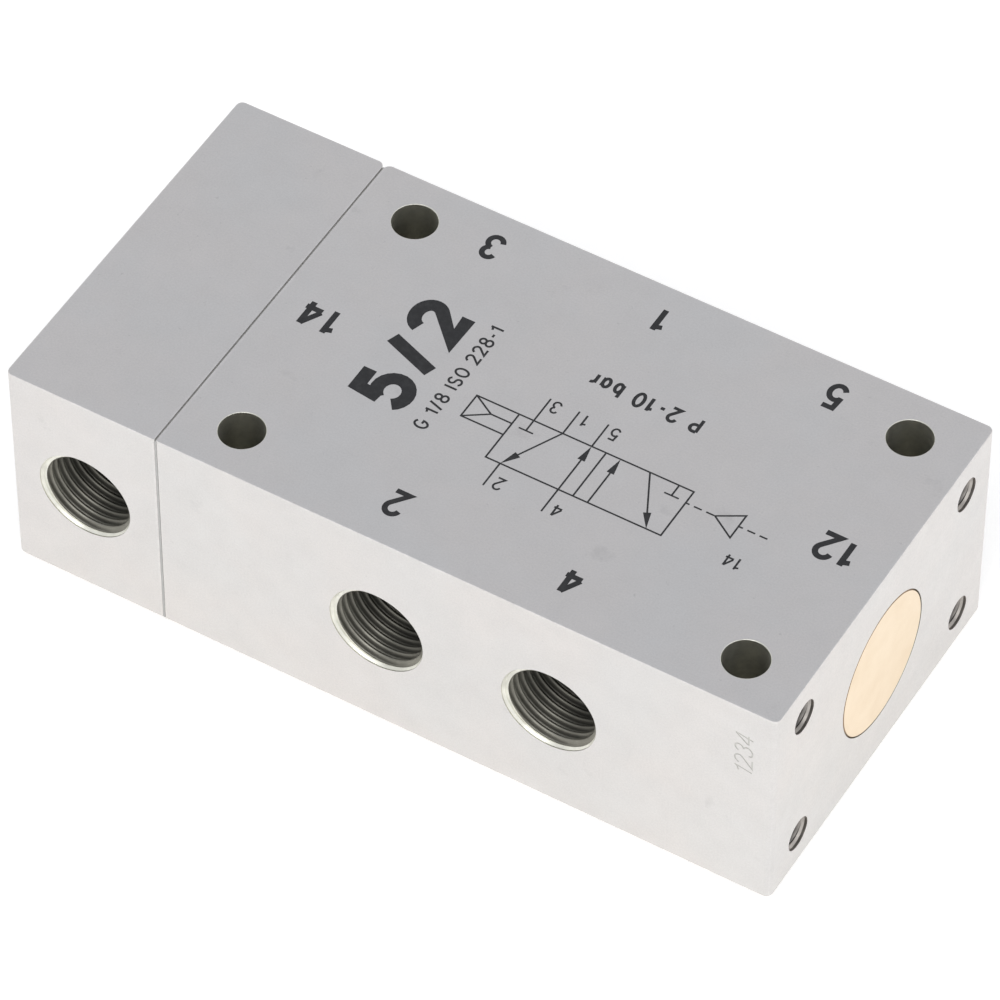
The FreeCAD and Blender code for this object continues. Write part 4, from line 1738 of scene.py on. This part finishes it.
class MakeStage(bpy.types.Operator):
    """Make the pale floor, the soft lights and the camera"""

    bl_idname = "valve.stage"
    bl_label = "Stage"

    def execute(self, context):
        stage = settings("valve_stage")
        scene = context.scene
        scene.view_settings.view_transform = "Standard"
        centre = (CAD_BOX[0] + CAD_BOX[1]) / 2
        self.floor(stage)
        self.room(scene, stage)
        self.soft_light("key_light", stage.key_power, KEY_PLACE, centre, KEY_WIDTH)
        self.soft_light("fill_light", stage.fill_power, FILL_PLACE, centre, FILL_WIDTH)
        self.camera(scene, stage, centre)
        return {"FINISHED"}

    def floor(self, stage):
        mesh = bmesh.new()
        bmesh.ops.create_grid(mesh, x_segments=8, y_segments=8, size=FLOOR_REACH)
        mesh.transform(Matrix.Translation((0, 0, -FLOOR_GAP)))
        material, graph, shader, place = new_material("pale_floor")
        cloud = graph.noise(place, 3.0, 2.0, 0.5)
        finish_shader(shader, {
            "Base Color": graph.mix(cloud, (0.935, 0.93, 0.915, 1), (0.905, 0.90, 0.885, 1)),
            "Roughness": 0.9,
            "Specular IOR Level": 0.0,
            "Emission Color": (1.0, 0.985, 0.96, 1.0),
            "Emission Strength": stage.floor_glow,
        })
        data = bpy.data.meshes.new("floor")
        mesh.to_mesh(data)
        mesh.free()
        data.materials.append(material)
        scene_object("floor", data)

    def room(self, scene, stage):
        """A plain room: white near the horizon, greyer overhead."""
        world = bpy.data.worlds.new("room")
        world.use_nodes = True
        world.node_tree.nodes.clear()
        graph = Graph(world.node_tree)
        way = graph.add("ShaderNodeTexCoord").other("Generated")
        up = graph.add("ShaderNodeSeparateXYZ", None, {0: way}).other("Z")
        rise = up.step_between(0.15, 0.75)
        strength = stage.sky_low + rise * (stage.sky_high - stage.sky_low)
        tint = graph.mix(rise, (1, 1, 1, 1), rgba(stage.sky_tint))
        glow = graph.add("ShaderNodeBackground", None, {"Color": tint, "Strength": strength})
        graph.add("ShaderNodeOutputWorld", None, {"Surface": glow})
        scene.world = world

    def soft_light(self, name, power, offset, centre, size):
        light = bpy.data.lights.new(name, "AREA")
        light.shape = "DISK"
        light.size = size
        light.energy = power
        item = scene_object(name, light)
        item.location = centre + offset
        item.rotation_mode = "QUATERNION"
        item.rotation_quaternion = (-offset).to_track_quat("-Z", "Y")

    def camera(self, scene, stage, centre):
        data = bpy.data.cameras.new("camera")
        data.lens = stage.lens
        data.sensor_width = 36.0
        data.clip_start = 0.01
        data.clip_end = 20.0
        data.dof.use_dof = False
        item = scene_object("camera", data)
        aim = centre + AIM_OFFSET
        turn, lift = stage.azimuth, stage.elevation
        back = Vector((
            math.sin(turn) * math.cos(lift), -math.cos(turn) * math.cos(lift), math.sin(lift),
        ))
        item.location = aim + back * stage.distance
        item.rotation_mode = "QUATERNION"
        level = (-back).to_track_quat("-Z", "Y")
        item.rotation_quaternion = (
            level.to_matrix().to_4x4() @ Matrix.Rotation(stage.roll, 4, "Z")
        ).to_quaternion()
        scene.camera = item


OPERATORS = [
    MakeBodyBlock,
    MakePilotBlock,
    MakeEndPlug,
    MakeCoverScrews,
    MakeGasket,
    MakeGuideBush,
    MakeSpacers,
    MakeRings,
    MakeSpool,
    MakePilotPiston,
    MakePrintedMarks,
    MakeStage,
]


class ValvePanel(bpy.types.Panel):
    """The valve's pieces and settings."""

    bl_idname = "VIEW3D_PT_valve"
    bl_label = "Directional Valve"
    bl_space_type = "VIEW_3D"
    bl_region_type = "UI"
    bl_category = "Valve"

    def draw(self, context):
        for maker in OPERATORS:
            self.layout.operator(maker.bl_idname)
        for name, group in SETTINGS.items():
            box = self.layout.box()
            box.label(text=group.__doc__)
            for field in group.__annotations__:
                box.prop(getattr(context.scene, name), field)


CLASSES = [*SETTINGS.values(), *OPERATORS, ValvePanel]


def register():
    for item in CLASSES:
        bpy.utils.register_class(item)
    for name, group in SETTINGS.items():
        setattr(bpy.types.Scene, name, PointerProperty(type=group))


def unregister():
    for name in SETTINGS:
        delattr(bpy.types.Scene, name)
    for item in reversed(CLASSES):
        bpy.utils.unregister_class(item)


def main():
    register()
    for maker in OPERATORS:
        category, name = maker.bl_idname.split(".")
        getattr(getattr(bpy.ops, category), name)()


if __name__ == "__main__":
    main()
